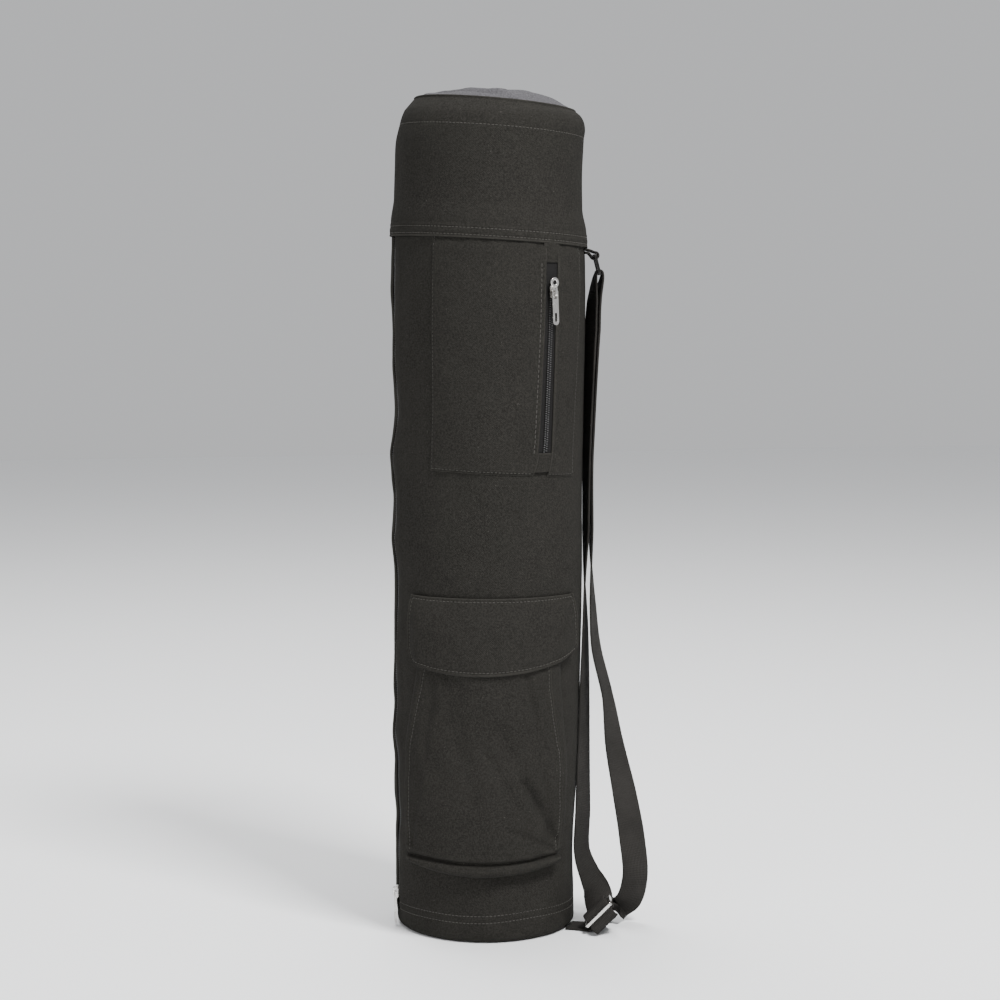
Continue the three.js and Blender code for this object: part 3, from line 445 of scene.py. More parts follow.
def canvas_material(name, colour):
    material, shader, flat, space = new_material(name, colour, 0.95, specular=0.05)
    sway = flat.noise(130, 2) - 0.5
    u = flat.axis("X") * 4200 + sway * 2.4
    v = flat.axis("Y") * 4200 + sway * 2.0
    weave = u.sine() * v.sine()
    slubs = flat.stretched(160, 1100).noise(1.0, 3) + flat.stretched(1100, 160).noise(1.0, 3)
    grain = space.noise(760, 3, 0.7)
    fading = space.noise(14, 3) * 0.6 + space.noise(55, 3) * 0.4
    # Paler on outward bends: partly edge wear, partly a painted highlight.
    wear_and_highlight = flat.make("ShaderNodeAttribute", {}, out="Fac", attribute_name="wear_and_highlight")
    lint = space.noise(620, 1).limited(0.745, 0.79)
    cloth_colour = fading.limited(0.3, 0.7).blend(grown(colour, 0.7), grown(colour, 0.92))
    cloth_colour = grain.limited(0.34, 0.66, 0, 0.6).blend(cloth_colour, grown(colour, 2.0))
    # Painted shade: darker in the weave's hollows, mixed with the slub threads' own tone.
    hollow_shade_and_slubs = (weave * 0.3 + slubs * 0.5).limited(0.1, 0.95, 0, 0.4)
    cloth_colour = hollow_shade_and_slubs.blend(cloth_colour, grown(colour, 0.45))
    cloth_colour = (wear_and_highlight * 0.5).blend(cloth_colour, grown(colour, 2.1))
    cloth_colour = (lint * 0.4).blend(cloth_colour, grown(colour, 4.5))
    relief = weave * 0.55 + slubs * 0.7 + grain * 0.7 + space.noise(260, 2) * 0.5
    wire(shader, Base_Color=cloth_colour, Normal=bump(relief, 0.55, 0.00022))
    return material


def webbing_material(name, colour):
    material, shader, flat, space = new_material(name, colour, 0.88, specular=0.08)
    ribs = (flat.axis("X") * 4400).sine()
    picks = (flat.axis("Y") * 3000 + ribs * 0.9).sine()
    fading = space.noise(30, 3).limited(0.3, 0.7)
    cloth_colour = fading.blend(grown(colour, 0.8), grown(colour, 1.25))
    cloth_colour = (ribs * picks).limited(-1, 1, 0, 0.35).blend(cloth_colour, grown(colour, 1.8))
    relief = ribs * 0.5 + picks * 0.35 + flat.noise(900, 2) * 0.5
    wire(shader, Base_Color=cloth_colour, Normal=bump(relief, 0.7, 0.0003))
    return material


def tape_material(name, colour):
    material, shader, flat, space = new_material(name, colour, 0.8, specular=0.15)
    cords = (flat.axis("X") * 7000).sine()
    picks = (flat.axis("Y") * 5200 + cords).sine()
    cloth_colour = (cords * picks).limited(-1, 1).blend(grown(colour, 0.75), grown(colour, 1.4))
    wire(shader, Base_Color=cloth_colour, Normal=bump(cords * picks, 0.5, 0.0002))
    return material


canvas = canvas_material("canvas", (0.0182, 0.0173, 0.0153))
# The top disc's canvas is a lighter copy of the body's canvas: its extra lightness is painted light from
# above, with a faint purple tint.
disc_canvas = canvas_material("disc_canvas", (0.066, 0.064, 0.068))
webbing = webbing_material("webbing", (0.0183, 0.0171, 0.0157))
tape = tape_material("zip_tape", (0.0085, 0.008, 0.0078))
# The thread is as dark as the canvas; its lighter colour here is a painted highlight, which shows the
# stitches as pale dots.
thread = new_material("thread", (0.054, 0.051, 0.046), 0.7, specular=0.15)[0]
SLOTS = {canvas: "canvas", disc_canvas: "disc_canvas", tape: "zip_tape"}

# %% [markdown]
# The zip's coil is smooth plastic. The sliders, pulls and strap slider are plated and polished,
# with faint clouding in the roughness. The ring is blackened.

# %% Plastic and metals
coil = new_material("zip_coil", (0.05, 0.05, 0.05), 0.42, specular=0.4)[0]


def metal_material(name, colour, rough, metal):
    material, shader, flat, space = new_material(name, colour, rough, metal)
    wire(shader, Roughness=space.noise(180, 3).limited(0.3, 0.75, rough * 0.7, rough * 1.7))
    return material


nickel = metal_material("nickel", (0.7, 0.685, 0.66), 0.2, 1.0)
black_metal = metal_material("black_metal", (0.016, 0.015, 0.014), 0.32, 0.7)

floor_paint = new_material("floor_paint", (0.9, 0.905, 0.91), 0.75, specular=0.2)[0]
floor.data.materials.append(floor_paint)
print("materials:", [material.name for material in bpy.data.materials if material.users])

# %% [markdown]
# Cloth is paler where it is bent outwards and rubbed: hems, folded edges and seams. This is partly
# wear and partly a painted highlight. The bend at each point can be measured from how much the
# normals turn along its edges. It is stored as a point attribute, which the canvas reads.

# %% Wear and painted highlight


def gather(items, field, width, kind=float):
    held = np.empty(len(items) * width, kind)
    items.foreach_get(field, held)
    return held.reshape(-1, width)


def mark_wear_and_highlight(piece):
    mesh = piece.data
    places, normals = gather(mesh.vertices, "co", 3), gather(mesh.vertices, "normal", 3)
    start, end = gather(mesh.edges, "vertices", 2, int).T
    run, turn = places[start] - places[end], normals[start] - normals[end]
    bend = (run * turn).sum(1) / np.maximum((run**2).sum(1), 1e-10)
    total, seen = np.zeros(len(places)), np.zeros(len(places))
    for side in (start, end):
        np.add.at(total, side, bend)
        np.add.at(seen, side, 1)
    # Outward bends turn paler, as wear and as a painted highlight.
    wear_and_highlight = smooth(60, 420, total / np.maximum(seen, 1))
    mesh.attributes.new("wear_and_highlight", "FLOAT", "POINT").data.foreach_set("value", wear_and_highlight.astype(np.float32))


# %% [markdown]
# Stitches and zip teeth are many copies of one small rounded bar. Each copy is turned to its
# place on a surface and all of a row are kept in one mesh, which is far lighter than thousands
# of objects. A path is walked in even steps, so that the stitches keep one length.

# %% Stitches and teeth
NUDGE = 1e-3


def bar_template(length, width, height):
    """A rounded bar along x: its points, and its faces as rows of point numbers."""
    points, faces, around, along = [], [], 6, (0.0, 0.12, 0.5, 0.88, 1.0)
    for share in along:
        swell = np.sqrt(max(0.0, 1 - (2 * share - 1) ** 4)) * 0.92 + 0.08
        for turn in np.arange(around) * 2 * np.pi / around:
            points.append(((share - 0.5) * length, np.cos(turn) * width / 2 * swell,
                           np.sin(turn) * height / 2 * swell))
    for ring in range(len(along) - 1):
        for side in range(around):
            n = (side + 1) % around
            faces.append((ring * around + side, ring * around + n,
                          (ring + 1) * around + n, (ring + 1) * around + side))
    faces.append(tuple(range(around))[::-1])
    faces.append(tuple((len(along) - 1) * around + side for side in range(around)))
    return np.array(points), faces


def level_with(vectors, normal):
    """Directions laid flat against a normal."""
    return unit(vectors - (vectors * normal).sum(1)[:, None] * normal)


def walk(face, u, v, pitch, phase=0.5):
    """Even places along a path on a face: each place, its direction and its normal."""
    length = running(face(u, v))
    stops = (np.arange(int(length[-1] / pitch)) + phase) * pitch
    u, v = np.interp(stops, length, u), np.interp(stops, length, v)
    here = face(u, v)
    sideways = face(u + NUDGE, v) - face(u - NUDGE, v)
    upward = face(u, v + NUDGE) - face(u, v - NUDGE)
    normal = unit(np.cross(sideways, upward))
    return here, level_with(np.gradient(here, axis=0), normal), normal


def copies(template, here, ahead, normal):
    """A list of turned templates, one at each place."""
    points, faces = template
    side = np.cross(normal, ahead)
    turned = (here[:, None] + ahead[:, None] * points[None, :, :1]
              + side[:, None] * points[None, :, 1:2] + normal[:, None] * points[None, :, 2:])
    return [(places, faces) for places in turned]


def joined_mesh(name, lists, material, slot, *nodes):
    """One mesh from several lists of copies."""
    points, faces, offset = [], [], 0
    for part_points, part_faces in sum(lists, []):
        points.append(part_points)
        faces += [tuple(corner + offset for corner in face) for face in part_faces]
        offset += len(part_points)
    finish_piece(new_mesh(name, np.concatenate(points), faces, material), slot, *nodes)
    print(name, len(faces), "faces")


STITCH = bar_template(2.5, 0.62, 0.5)
BIG_STITCH = bar_template(3.1, 0.8, 0.62)


def stitch_row(face, u, v, pitch=3.3, lift=0.12, template=STITCH):
    u, v = np.broadcast_arrays(np.asarray(u, float), np.asarray(v, float))
    here, ahead, normal = walk(face, u, v, pitch)
    return copies(template, here + normal * lift, ahead, normal)


def stitches(name, *lists):
    # The thread's lighter colour is a painted highlight.
    joined_mesh(name, lists, thread, "canvas")


# %% [markdown]
# The body panel wraps once round the bag and leaves a slot for the zip. Its foot turns in round
# the base corner. Near the zip the cloth is folded under, and the seam draws it into small
# puckers, so its edge stands a little proud. Two rows of stitches round the foot hold the inner
# hem, and each pulls a fine groove into the cloth.

# %% Body panel
HALF_SLOT = np.degrees(ZIP_OPENING / 2 / RADIUS)
SLOT_START, SLOT_END = ZIP_ANGLE - HALF_SLOT, ZIP_ANGLE + HALF_SLOT
BASE_CORNER = 6.0
FOOT_ROWS, ZIP_ROW = (18.0, 24.0), 7.5


def zip_distance(angle):
    """Millimetres along the cloth from the middle of the main zip."""
    turn = np.abs((np.asarray(angle) - ZIP_ANGLE + 180) % 360 - 180)
    return np.radians(turn) * RADIUS


def foot_row(angle, base):
    return base + 1.2 * np.sin(np.radians(angle * 2 + 40)) + 0.5 * np.sin(np.radians(angle * 5))


def body_off(angle, height):
    near = zip_distance(angle)
    above = smooth(ZIP_FOOT - 4, ZIP_FOOT + 6, height)
    fold = above * (0.7 * smooth(22, 18, near) - 0.9 * smooth(6.5, 4.4, near))
    seam = above * groove(near - ZIP_ROW, 0.35, 0.8)
    wobble = soft_waves(SMALL, polar(angle, 60, height) * 0.6) * smooth(26, 8, near) * 0.22
    stitched = sum(groove(height - foot_row(angle, base), 0.3) for base in FOOT_ROWS)
    return fold + seam + wobble * above + stitched


def body_face(angle, height):
    return on_skin(angle, height, body_off(angle, height) - round_edge(height, BASE_CORNER))


slot_sides = [SLOT_END + step for step in (0, 0.7, 1.6, 3, 5)]
around = np.concatenate([
    slot_sides,
    spread(SLOT_END + 7, SLOT_START + 353, 2.1),
    [SLOT_START + 360 - step for step in (5, 3, 1.6, 0.7, 0)],
])
heights = np.concatenate([
    BASE_CORNER * (1 - np.cos(np.linspace(0, np.pi / 2, 7))),
    spread(7.5, 24, 1.1),
    spread(27, HEM + HEM_LAP - 8, 3.2),
])
cloth(
    "bag_body", on_grid(body_face, around, heights), canvas, "body_panel", ring=True,
    keep=lambda row, column: column < len(around) - 1 or heights[row] < ZIP_FOOT,
)

turn = np.linspace(SLOT_END + 1, SLOT_START + 359, 900)
up_zip = np.linspace(ZIP_FOOT + 6, HEM - 2, 700)
beside_zip = np.degrees(ZIP_ROW / RADIUS)
stitches(
    "body_stitches",
    *[stitch_row(body_face, turn, foot_row(turn, base)) for base in FOOT_ROWS],
    *[stitch_row(body_face, ZIP_ANGLE + side * beside_zip, up_zip) for side in (-1, 1)],
)

# %% [markdown]
# The bottom is a plain disc inside the turned foot. A fan of rings is enough, because it only
# shows when the bag is tipped over.

# %% Bottom disc
foot = body_face(around, np.zeros_like(around))
foot_radius = np.hypot(foot[:, 0], foot[:, 1]) - 0.4
rings = np.array([0.002, 0.25, 0.5, 0.75, 0.92, 1.0])
disc_grid = polar(around[None], foot_radius[None] * rings[:, None], 0.05)
cloth("bag_bottom", disc_grid, canvas, "bottom_disc", ring=True)

# %% [markdown]
# The top band is a second ring of canvas. Its folded hem laps over the body and flares a little,
# with two rows of topstitching just above the edge. Higher up it narrows over the shoulder and
# turns in at the rim seam, where the crowned disc is sewn in.

# %% Top band
HEM_ROWS, HEM_EDGE = (2.8, 8.6), 1.2
RIM_ROW = 22.5


def rim_height(angle):
    return RIM + 4.3 - 5.7 * np.sin(np.radians(angle))


def rim_skin(angle, height, off=0.0):
    """The skin, which keeps closing in above the plain rim where the seam runs higher."""
    return on_skin(angle, height, off - 0.85 * np.maximum(0, height - RIM))


def band_off(angle, above):
    lapped = 1 - smooth(HEM_LAP, 2.4 * HEM_LAP, above)
    doubled = 0.5 * smooth(12.5, 9.5, above)
    stitched = sum(groove(above - row, 0.5, 1.1) for row in HEM_ROWS)
    ease = 0.3 * np.sin(np.radians(angle) * 23) + 0.25 * np.sin(np.radians(angle) * 58 + 1)
    rise = (CANVAS + GAP + 0.4) * lapped + doubled - round_edge(above, HEM_EDGE)
    return rise + stitched + ease * np.exp(-above / 16)


def band_face(angle, above):
    height = hem_height(angle) + above
    ring_row = groove(rim_height(angle) - RIM_ROW - height, 0.25)
    return rim_skin(angle, height, band_off(angle, above) + ring_row)


band_around = spread(-180, 180, 1.9)[:-1]
band_rows = np.concatenate([spread(0, 1.2, 0.3), spread(1.8, 15, 0.66), spread(17, 76, 2.6)])
lower = on_grid(band_face, band_around, band_rows)
full = rim_height(band_around) - hem_height(band_around)
upper = [band_face(band_around, mix(band_rows[-1], full, share)) for share in spread(0, 1, 0.04)[1:]]
rim_turn = [(0.35, 0.7), (-0.4, 1.25), (-1.3, 1.1), (-1.9, 0.2), (-2.1, -2.0)]
seam = [rim_skin(band_around, rim_height(band_around), off) + (0, 0, up) for off, up in rim_turn]
band_grid = np.concatenate([lower, np.stack(upper), np.stack(seam)])
cloth("bag_band", band_grid, canvas, "top_band", wall=1.2, ring=True)

turn = np.linspace(-180, 180, 1100)
rim_row = rim_height(turn) - RIM_ROW - hem_height(turn)
hem_stitches = [stitch_row(band_face, turn, row) for row in HEM_ROWS]
stitches("band_stitches", *hem_stitches, stitch_row(band_face, turn, rim_row, lift=0.05))

# %% [markdown]
# The top disc is crowned, as cloth is over a filled bag. Its edge turns down into the rim seam,
# and one soft crease crosses it on the left. Rings of points shrink towards the middle like a
# spider's web, and the innermost ring is small enough to close without a visible pole.

# %% Top disc
PEAK = 723.0


def dome(angle, share):
    rim = rim_height(angle)
    lift = (np.sqrt(1 - 0.96 * share**2) - 0.2) / 0.8
    edge = np.hypot(*np.moveaxis(rim_skin(angle, rim)[..., :2], -1, 0)) - 2.2
    place = polar(angle, edge * share, rim + (PEAK - rim) * lift)
    place[..., 0] += 6 * (1 - share**2)
    away = place[..., 0] * 0.83 + place[..., 1] * 0.55 + 36
    inward = smooth(1.0, 0.9, share)
    crease = groove(away, 3.4, 4.0) * smooth(0.2, 0.55, share)
    ridge = 2.0 * bell(away - 9, 6) * smooth(0.1, 0.5, share)
    dent = groove(place[..., 0] - 44, 1.5, 10) * bell(place[..., 1] + 22, 22)
    waves = 0.8 * soft_waves(MIDDLING, place) + 0.2 * soft_waves(SMALL, place)
    place[..., 2] += (crease + ridge + dent + waves) * inward - 2.4 * smooth(0.965, 1.0, share)
    return place


outer_rings = [0.92, 0.94, 0.955, 0.97, 0.98, 0.99, 1.0]
rings = np.concatenate([[0.002, 0.02], np.linspace(0.05, 0.9, 30), outer_rings])
dome_grid = on_grid(dome, band_around[::2], rings[::-1])
# The disc's lighter canvas is painted light from above.
cloth("bag_disc", dome_grid, disc_canvas, "top_disc", wall=1.2, ring=True)

# %% [markdown]
# The zip pocket is a flat patch under the band. Its cloth is folded back beside the zip's
# window, which leaves soft ridges. The patch is one layer on the body, so it rides on the same
# skin with a small stand, and its stitched edges are drawn down to the body.

# %% Zip pocket panels
TAPE = 0.8
TAPE_SEAT = GAP + TAPE + GAP
LEFT_WIDE, RIGHT_WIDE, POCKET_TALL = 104, 28, 199
EDGE_ROW, WINDOW_ROW = 2.2, 5.0


def pocket_height(angle, share):
    foot = POCKET_FOOT - POCKET_TILT * np.sin(np.radians(angle))
    return mix(foot, hem_height(angle) + 6, share)


def pocket_share(height):
    return np.clip((height - POCKET_FOOT) / (HEM - POCKET_FOOT), 0, 1)


def edge_at(column, height):
    return read(POCKET_EDGES, column, pocket_share(height))


def pocket_face(first, last, outer):
    def face(across, share):
        height = pocket_height(0, share)
        angle = mix(edge_at(first, height), edge_at(last, height), across)
        height = pocket_height(angle, share)
        outer_edge = edge_at(outer, height)
        inner_edge = edge_at(last if outer == first else first, height)
        side = np.radians(np.abs(angle - outer_edge)) * RADIUS
        window = np.radians(np.abs(angle - inner_edge)) * RADIUS
        foot = height - pocket_height(angle, 0)
        near = np.minimum(side, foot)
        tucked = smooth(hem_height(angle) - 7, hem_height(angle) - 1, height)
        stand = mix(mix(0.5, TAPE_SEAT + 1.2, smooth(0, 3.2, near)), 0.8, tucked)
        roll = groove(window, 0.9, 0.7) + 0.35 * bell(window - 2.2, 1.6)
        in_window = smooth(WINDOW_FOOT - 3, WINDOW_FOOT + 2, height)
        in_window = in_window * smooth(WINDOW_TOP + 3, WINDOW_TOP - 2, height)
        stitched = groove(near - EDGE_ROW) + groove(window - WINDOW_ROW, 0.35) * in_window
        return on_skin(angle, height, stand + roll * in_window + stitched)

    return face


def pocket_panel(name, face, node, wide):
    columns = np.concatenate([
        spread(0, 6 / wide, 0.5 / wide), spread(8 / wide, 1 - 8 / wide, 3 / wide),
        spread(1 - 6 / wide, 1, 0.5 / wide),
    ])
    up = np.concatenate([spread(0, 0.03, 0.0026), spread(0.04, 1, 0.014)])
    cloth(name, on_grid(face, columns, up), canvas, node, wall=0.7)


left_face = pocket_face("left", "window_left", "left")
right_face = pocket_face("window_right", "right", "right")
pocket_panel("pocket_left", left_face, "zip_pocket_left_panel", LEFT_WIDE)
pocket_panel("pocket_right", right_face, "zip_pocket_right_panel", RIGHT_WIDE)

line = np.linspace(0.012, 0.98, 400)
across = np.linspace(0.022, 1, 300)
in_window = np.linspace(pocket_share(WINDOW_FOOT), pocket_share(WINDOW_TOP), 300)
foot_level = EDGE_ROW / POCKET_TALL
stitches(
    "pocket_stitches",
    stitch_row(left_face, EDGE_ROW / LEFT_WIDE, line),
    stitch_row(left_face, across, foot_level, lift=0.1),
    stitch_row(left_face, 1 - WINDOW_ROW / LEFT_WIDE, in_window, 4.2, template=BIG_STITCH),
    stitch_row(right_face, 1 - EDGE_ROW / RIGHT_WIDE, line),
    stitch_row(right_face, across * 0.9, foot_level, lift=0.1),
)

# %% [markdown]
# The window is closed above and below by a tab of canvas, and the zip's tape lies behind it. The
# tabs bow out a little, as folded cloth does. The tape follows a line up the middle of the
# window, and the same kind of face serves the tapes and coils of both zips.

# %% Zip pocket tabs and tape


def window_tab(name, low, high, node):
    def face(across, up):
        level = mix(low, high, up)
        left, right = edge_at("window_left", level), edge_at("window_right", level)
        angle = mix(left - 1.5, right + 1.5, across)
        bow = 0.25 * np.cos((across - 0.5) * np.pi)
        return on_skin(angle, level, TAPE_SEAT + 0.55 + bow)

    steps = np.linspace(0, 1, 13)
    cloth(name, on_grid(face, steps, steps), canvas, node, wall=0.5)


window_tab("pocket_tab_top", WINDOW_TOP, HEM + 4, "zip_pocket_top_tab")
window_tab("pocket_tab_foot", POCKET_FOOT + 2, WINDOW_FOOT, "zip_pocket_foot_tab")


def zip_line(height):
    return (edge_at("window_left", height) + edge_at("window_right", height)) / 2


def tape_face(line, seat, wave=0.0):
    def face(across, height):
        off = seat + wave * np.sin(across * 2.2)
        return on_skin(line(height) + np.degrees(across / RADIUS), height, off)

    return face


def zip_tape(name, face, half_width, low, high, *nodes):
    columns = np.linspace(-half_width, half_width, 2 * half_width + 1)
    cloth(name, on_grid(face, columns, spread(low, high, 5)), tape, *nodes, wall=0.6)


pocket_tape_face = tape_face(zip_line, GAP + TAPE)
zip_tape("pocket_zip_tape", pocket_tape_face, 8, POCKET_FOOT + 6, HEM, "zip_pocket_tape")

# %% [markdown]
# The cargo pocket has a front and two gussets in one grid, open at the top. Its front is folded
# over a rolled foot, which casts the dark line low on the bag. Soft diagonal creases run across
# the lower right corner. The corners where front and gusset meet carry a fine raised seam.

# %% Cargo pocket
CARGO_TURN, CARGO_ROW = 94, 3
CARGO_FOLDS = rows(
    "from_across from_up to_across to_up wide depth",
    (0.95, 0.1, 0.6, 0.62, 0.045, 0.2), (0.8, 0.06, 0.98, 0.5, 0.04, -0.16),
    (0.08, 0.2, 0.2, 0.75, 0.05, -0.12), (0.97, 0.12, 0.74, 0.4, 0.02, 0.26),
    (0.95, 0.085, 0.66, 0.2, 0.022, 0.2), (0.45, 0.3, 0.3, 0.8, 0.04, 0.12),
    (0.04, 0.1, 0.12, 0.42, 0.022, 0.22), (0.9, 0.45, 0.8, 0.86, 0.026, 0.2),
    (0.5, 0.55, 0.72, 0.28, 0.03, 0.12), (0.2, 0.86, 0.34, 0.52, 0.035, 0.12),
    (0.93, 0.13, 0.84, 0.5, 0.016, 0.16), (0.14, 0.5, 0.1, 0.86, 0.03, 0.16),
)


def creases(folds, across, up, aspect):
    """Depth of a set of straight folds at places on a sheet that is aspect times as wide as tall."""
    total = 0
    for x, y, end_x, end_y, wide, depth in zip(*folds.values()):
        start = np.array([x * aspect, y])
        run = np.array([end_x * aspect, end_y]) - start
        offset = np.stack([across * aspect, up], -1) - start
        along = np.clip(offset @ run / (run @ run), 0, 1)
        distance = np.linalg.norm(offset - along[..., None] * run, axis=-1) / aspect
        total = total + groove(distance, depth, wide)
    return total


def cargo_face(across, share):
    table = {column: read(CARGO_EDGES, column, share) for column in CARGO_EDGES if column != "at"}
    on_left = across < 0.5
    from_side = np.minimum(np.where(on_left, across, 1 - across) / GUSSET, 1)
    quarter = from_side * np.pi / 2
    turned = 0.15 * from_side + 0.85 * (1 - np.cos(quarter))
    left = mix(table["left_foot"], table["left"], np.where(on_left, turned, 1))
    right = mix(table["right_foot"], table["right"], np.where(on_left, 1, turned))
    middle = np.clip((across - GUSSET) / (1 - 2 * GUSSET), 0, 1)
    angle = mix(left, right, middle)
    folded = creases(CARGO_FOLDS, middle, share, 0.6) * smooth(0, 0.1, share)
    stand = (table["stand"] + folded) * np.sin(quarter)
    height = mix(CARGO_FOOT + CARGO_SAG * (2 * middle - 1) ** 2, CARGO_MOUTH, share)
    edge = np.minimum(middle, 1 - middle) * np.radians(CARGO_TURN) * RADIUS
    piping = 0.3 * bell(edge - 1, 0.9) * (from_side >= 1) * smooth(0.02, 0.06, share)
    sunk = groove(edge - CARGO_ROW, 0.35, 0.8) * (from_side >= 1)
    crease = 0.066 - 0.02 * (2 * middle - 1) ** 2 + 0.003 * np.sin(middle * 9)
    sunk = sunk + groove(share - crease, 3.2, 0.008) * smooth(0.1, 0.7, from_side)
    crumple = 0.25 * soft_waves(SMALL, polar(angle, 70, height) * 0.8) * np.sin(quarter)
    return on_skin(angle, height, 0.5 + CARGO_DEPTH * stand + piping + sunk + crumple)


columns = np.concatenate([
    spread(0, GUSSET, 0.011), spread(GUSSET + 0.003, GUSSET + 0.03, 0.004),
    spread(GUSSET + 0.04, 1 - GUSSET - 0.04, 0.0125),
    spread(1 - GUSSET - 0.03, 1 - GUSSET - 0.003, 0.004), spread(1 - GUSSET, 1, 0.011),
])
up = np.concatenate([spread(0, 0.1, 0.0028), spread(0.108, 1, 0.0105)])
cloth("bag_cargo", on_grid(cargo_face, columns, up), canvas, "cargo_pocket", wall=1.2)

line = np.linspace(0.07, 0.9, 400)
inner = GUSSET + CARGO_ROW / (np.radians(CARGO_TURN) * RADIUS) * (1 - 2 * GUSSET)
stitches("cargo_stitches", *[stitch_row(cargo_face, place, line) for place in (inner, 1 - inner)])

# %% [markdown]
# The flap is two layers of canvas sewn together and turned, so its edge is thick and rounded. It
# is sewn to the body along its top and rests on the pocket's front. A stitched row runs round
# its sides and foot, a few millimetres in, and weak dents show where the layers bulge.

# %% Cargo flap
FLAP_MIDDLE, FLAP_HALF = -15.0, 55.0
mouth = {column: CARGO_EDGES[column][-2] for column in CARGO_EDGES}
FLAP_WIDE, FLAP_TALL, FLAP_ROW, FLAP_HEAD_ROW, FLAP_EDGE = 148, 62, 3.4, 3.0, 1.1
FLAP_DENTS = rows(
    "from_across from_down to_across to_down wide depth",
    (0.72, 0.75, 0.95, 0.25, 0.03, 0.5), (0.8, 0.9, 0.99, 0.5, 0.025, 0.4),
    (0.3, 0.9, 0.16, 0.3, 0.04, 0.35), (0.5, 0.85, 0.44, 0.4, 0.05, 0.3),
)


def flap_face(across, down):
    left, right = read(FLAP_EDGES, "left", down), read(FLAP_EDGES, "right", down)
    angle = mix(left, right, across)
    sag = (angle - FLAP_MIDDLE) / FLAP_HALF
    foot = FLAP_TOP - FLAP_DROP + FLAP_SAG * sag**2
    over_left = smooth(left, mouth["left"], angle)
    over_right = 1 - smooth(mouth["right"], right, angle)
    droop = mix(FLAP_SIDE, 1, np.minimum(over_left, over_right))
    rest = CARGO_DEPTH * mouth["stand"] + 0.5
    stand = rest * droop * np.sin(np.minimum(down / 0.5, 1) * np.pi / 2)
    height = mix(FLAP_TOP, foot, down)
    side = np.radians(np.minimum(angle - left, right - angle)) * RADIUS
    edge = np.minimum(side, height - foot)
    stitched = groove(edge - FLAP_ROW, 0.45) + groove(FLAP_TOP - height - FLAP_HEAD_ROW, 0.45)
    puff = 0.35 * bell(edge - 1.6, 1.1)
    shape = stand - round_edge(edge, FLAP_EDGE) + stitched + puff
    dents = creases(FLAP_DENTS, across, down, 2.2)
    return on_skin(angle, height, GAP + FLAP_WALL + shape + dents)


columns = np.concatenate([spread(0, 0.04, 0.0035), spread(0.047, 0.953, 0.012), spread(0.96, 1, 0.0035)])
down = np.concatenate([spread(0, 0.07, 0.008), spread(0.09, 0.91, 0.022), spread(0.925, 1, 0.006)])
flap_grid = on_grid(flap_face, columns, down[::-1])
cloth("bag_flap", flap_grid, canvas, "cargo_flap", wall=FLAP_WALL)

flap_high = 1 - FLAP_ROW / FLAP_TALL
line = np.linspace(0.03, flap_high, 200)
turn = np.linspace(0.026, 0.974, 400)


def flap_up(across, up):
    return flap_face(across, 1 - up)


stitches(
    "flap_stitches",
    stitch_row(flap_up, FLAP_ROW / FLAP_WIDE, 1 - line),
    stitch_row(flap_up, 1 - FLAP_ROW / FLAP_WIDE, 1 - line),
    stitch_row(flap_up, turn, 1 - flap_high),
    stitch_row(flap_up, turn, 1 - FLAP_HEAD_ROW / FLAP_TALL),
)

# %% [markdown]
# The strap is one length of webbing. It leaves the foot of the bag, passes through the slider,
# climbs beside the bag to the ring, turns over the ring's lower bar and hangs down again further
# out. Its curve passes through measured stations, with a direction across the webbing at each.
# A rounded flat section is swept along that curve, which keeps the width constant as it twists.

# %% Strap route
strap_out = polar(STRAP_ANGLE, 1.0, 0.0)
strap_front = np.array([strap_out[1], -strap_out[0], 0])
UP = np.array([0.0, 0.0, 1.0])


def beside(out, front, up):
    return UP * up + strap_out * out + strap_front * front


TAIL_ANGLE = 60.0
TAIL_ROUTE = (
    (1.02, 0.33, 0.002, (-0.25, 0.97, 0)), (1.15, 0.41, 0.0038, (-0.6, 0.8, -0.05)),
    (1.225, 0.55, 0.0125, (-0.85, 0.2, -0.42)),
)
INNER_ROUTE = (
    (1.165, 0.15, 0.042, (0.66, -0.4, 0.63)), (1.085, 0.13, 0.062, (0.62, -0.72, 0.3)),
    (1.005, 0.125, 0.09, (0.55, -0.83, 0.02)), (1.013, 0.105, 0.14, (0.54, -0.84, 0)),
    (1.02, 0.085, 0.21, (0.45, -0.89, 0)), (1.031, 0.06, 0.3, (0.34, -0.94, 0)),
    (1.036, 0.04, 0.37, (0.2, -0.98, 0)), (1.03, 0.02, 0.43, (0.02, -1, 0)),
    (1.04, 0.01, 0.49, (-0.16, -0.98, 0)), (1.046, 0, 0.57, (-0.2, -0.98, 0)),
    (1.056, 0, 0.62, (-0.24, -0.97, 0)), (1.07, 0, 0.68, (-0.3, -0.95, 0)),
    (1.086, 0, 0.735, (-0.36, -0.93, 0)), (1.102, 0, 0.77, (-0.3, -0.95, 0)),
)
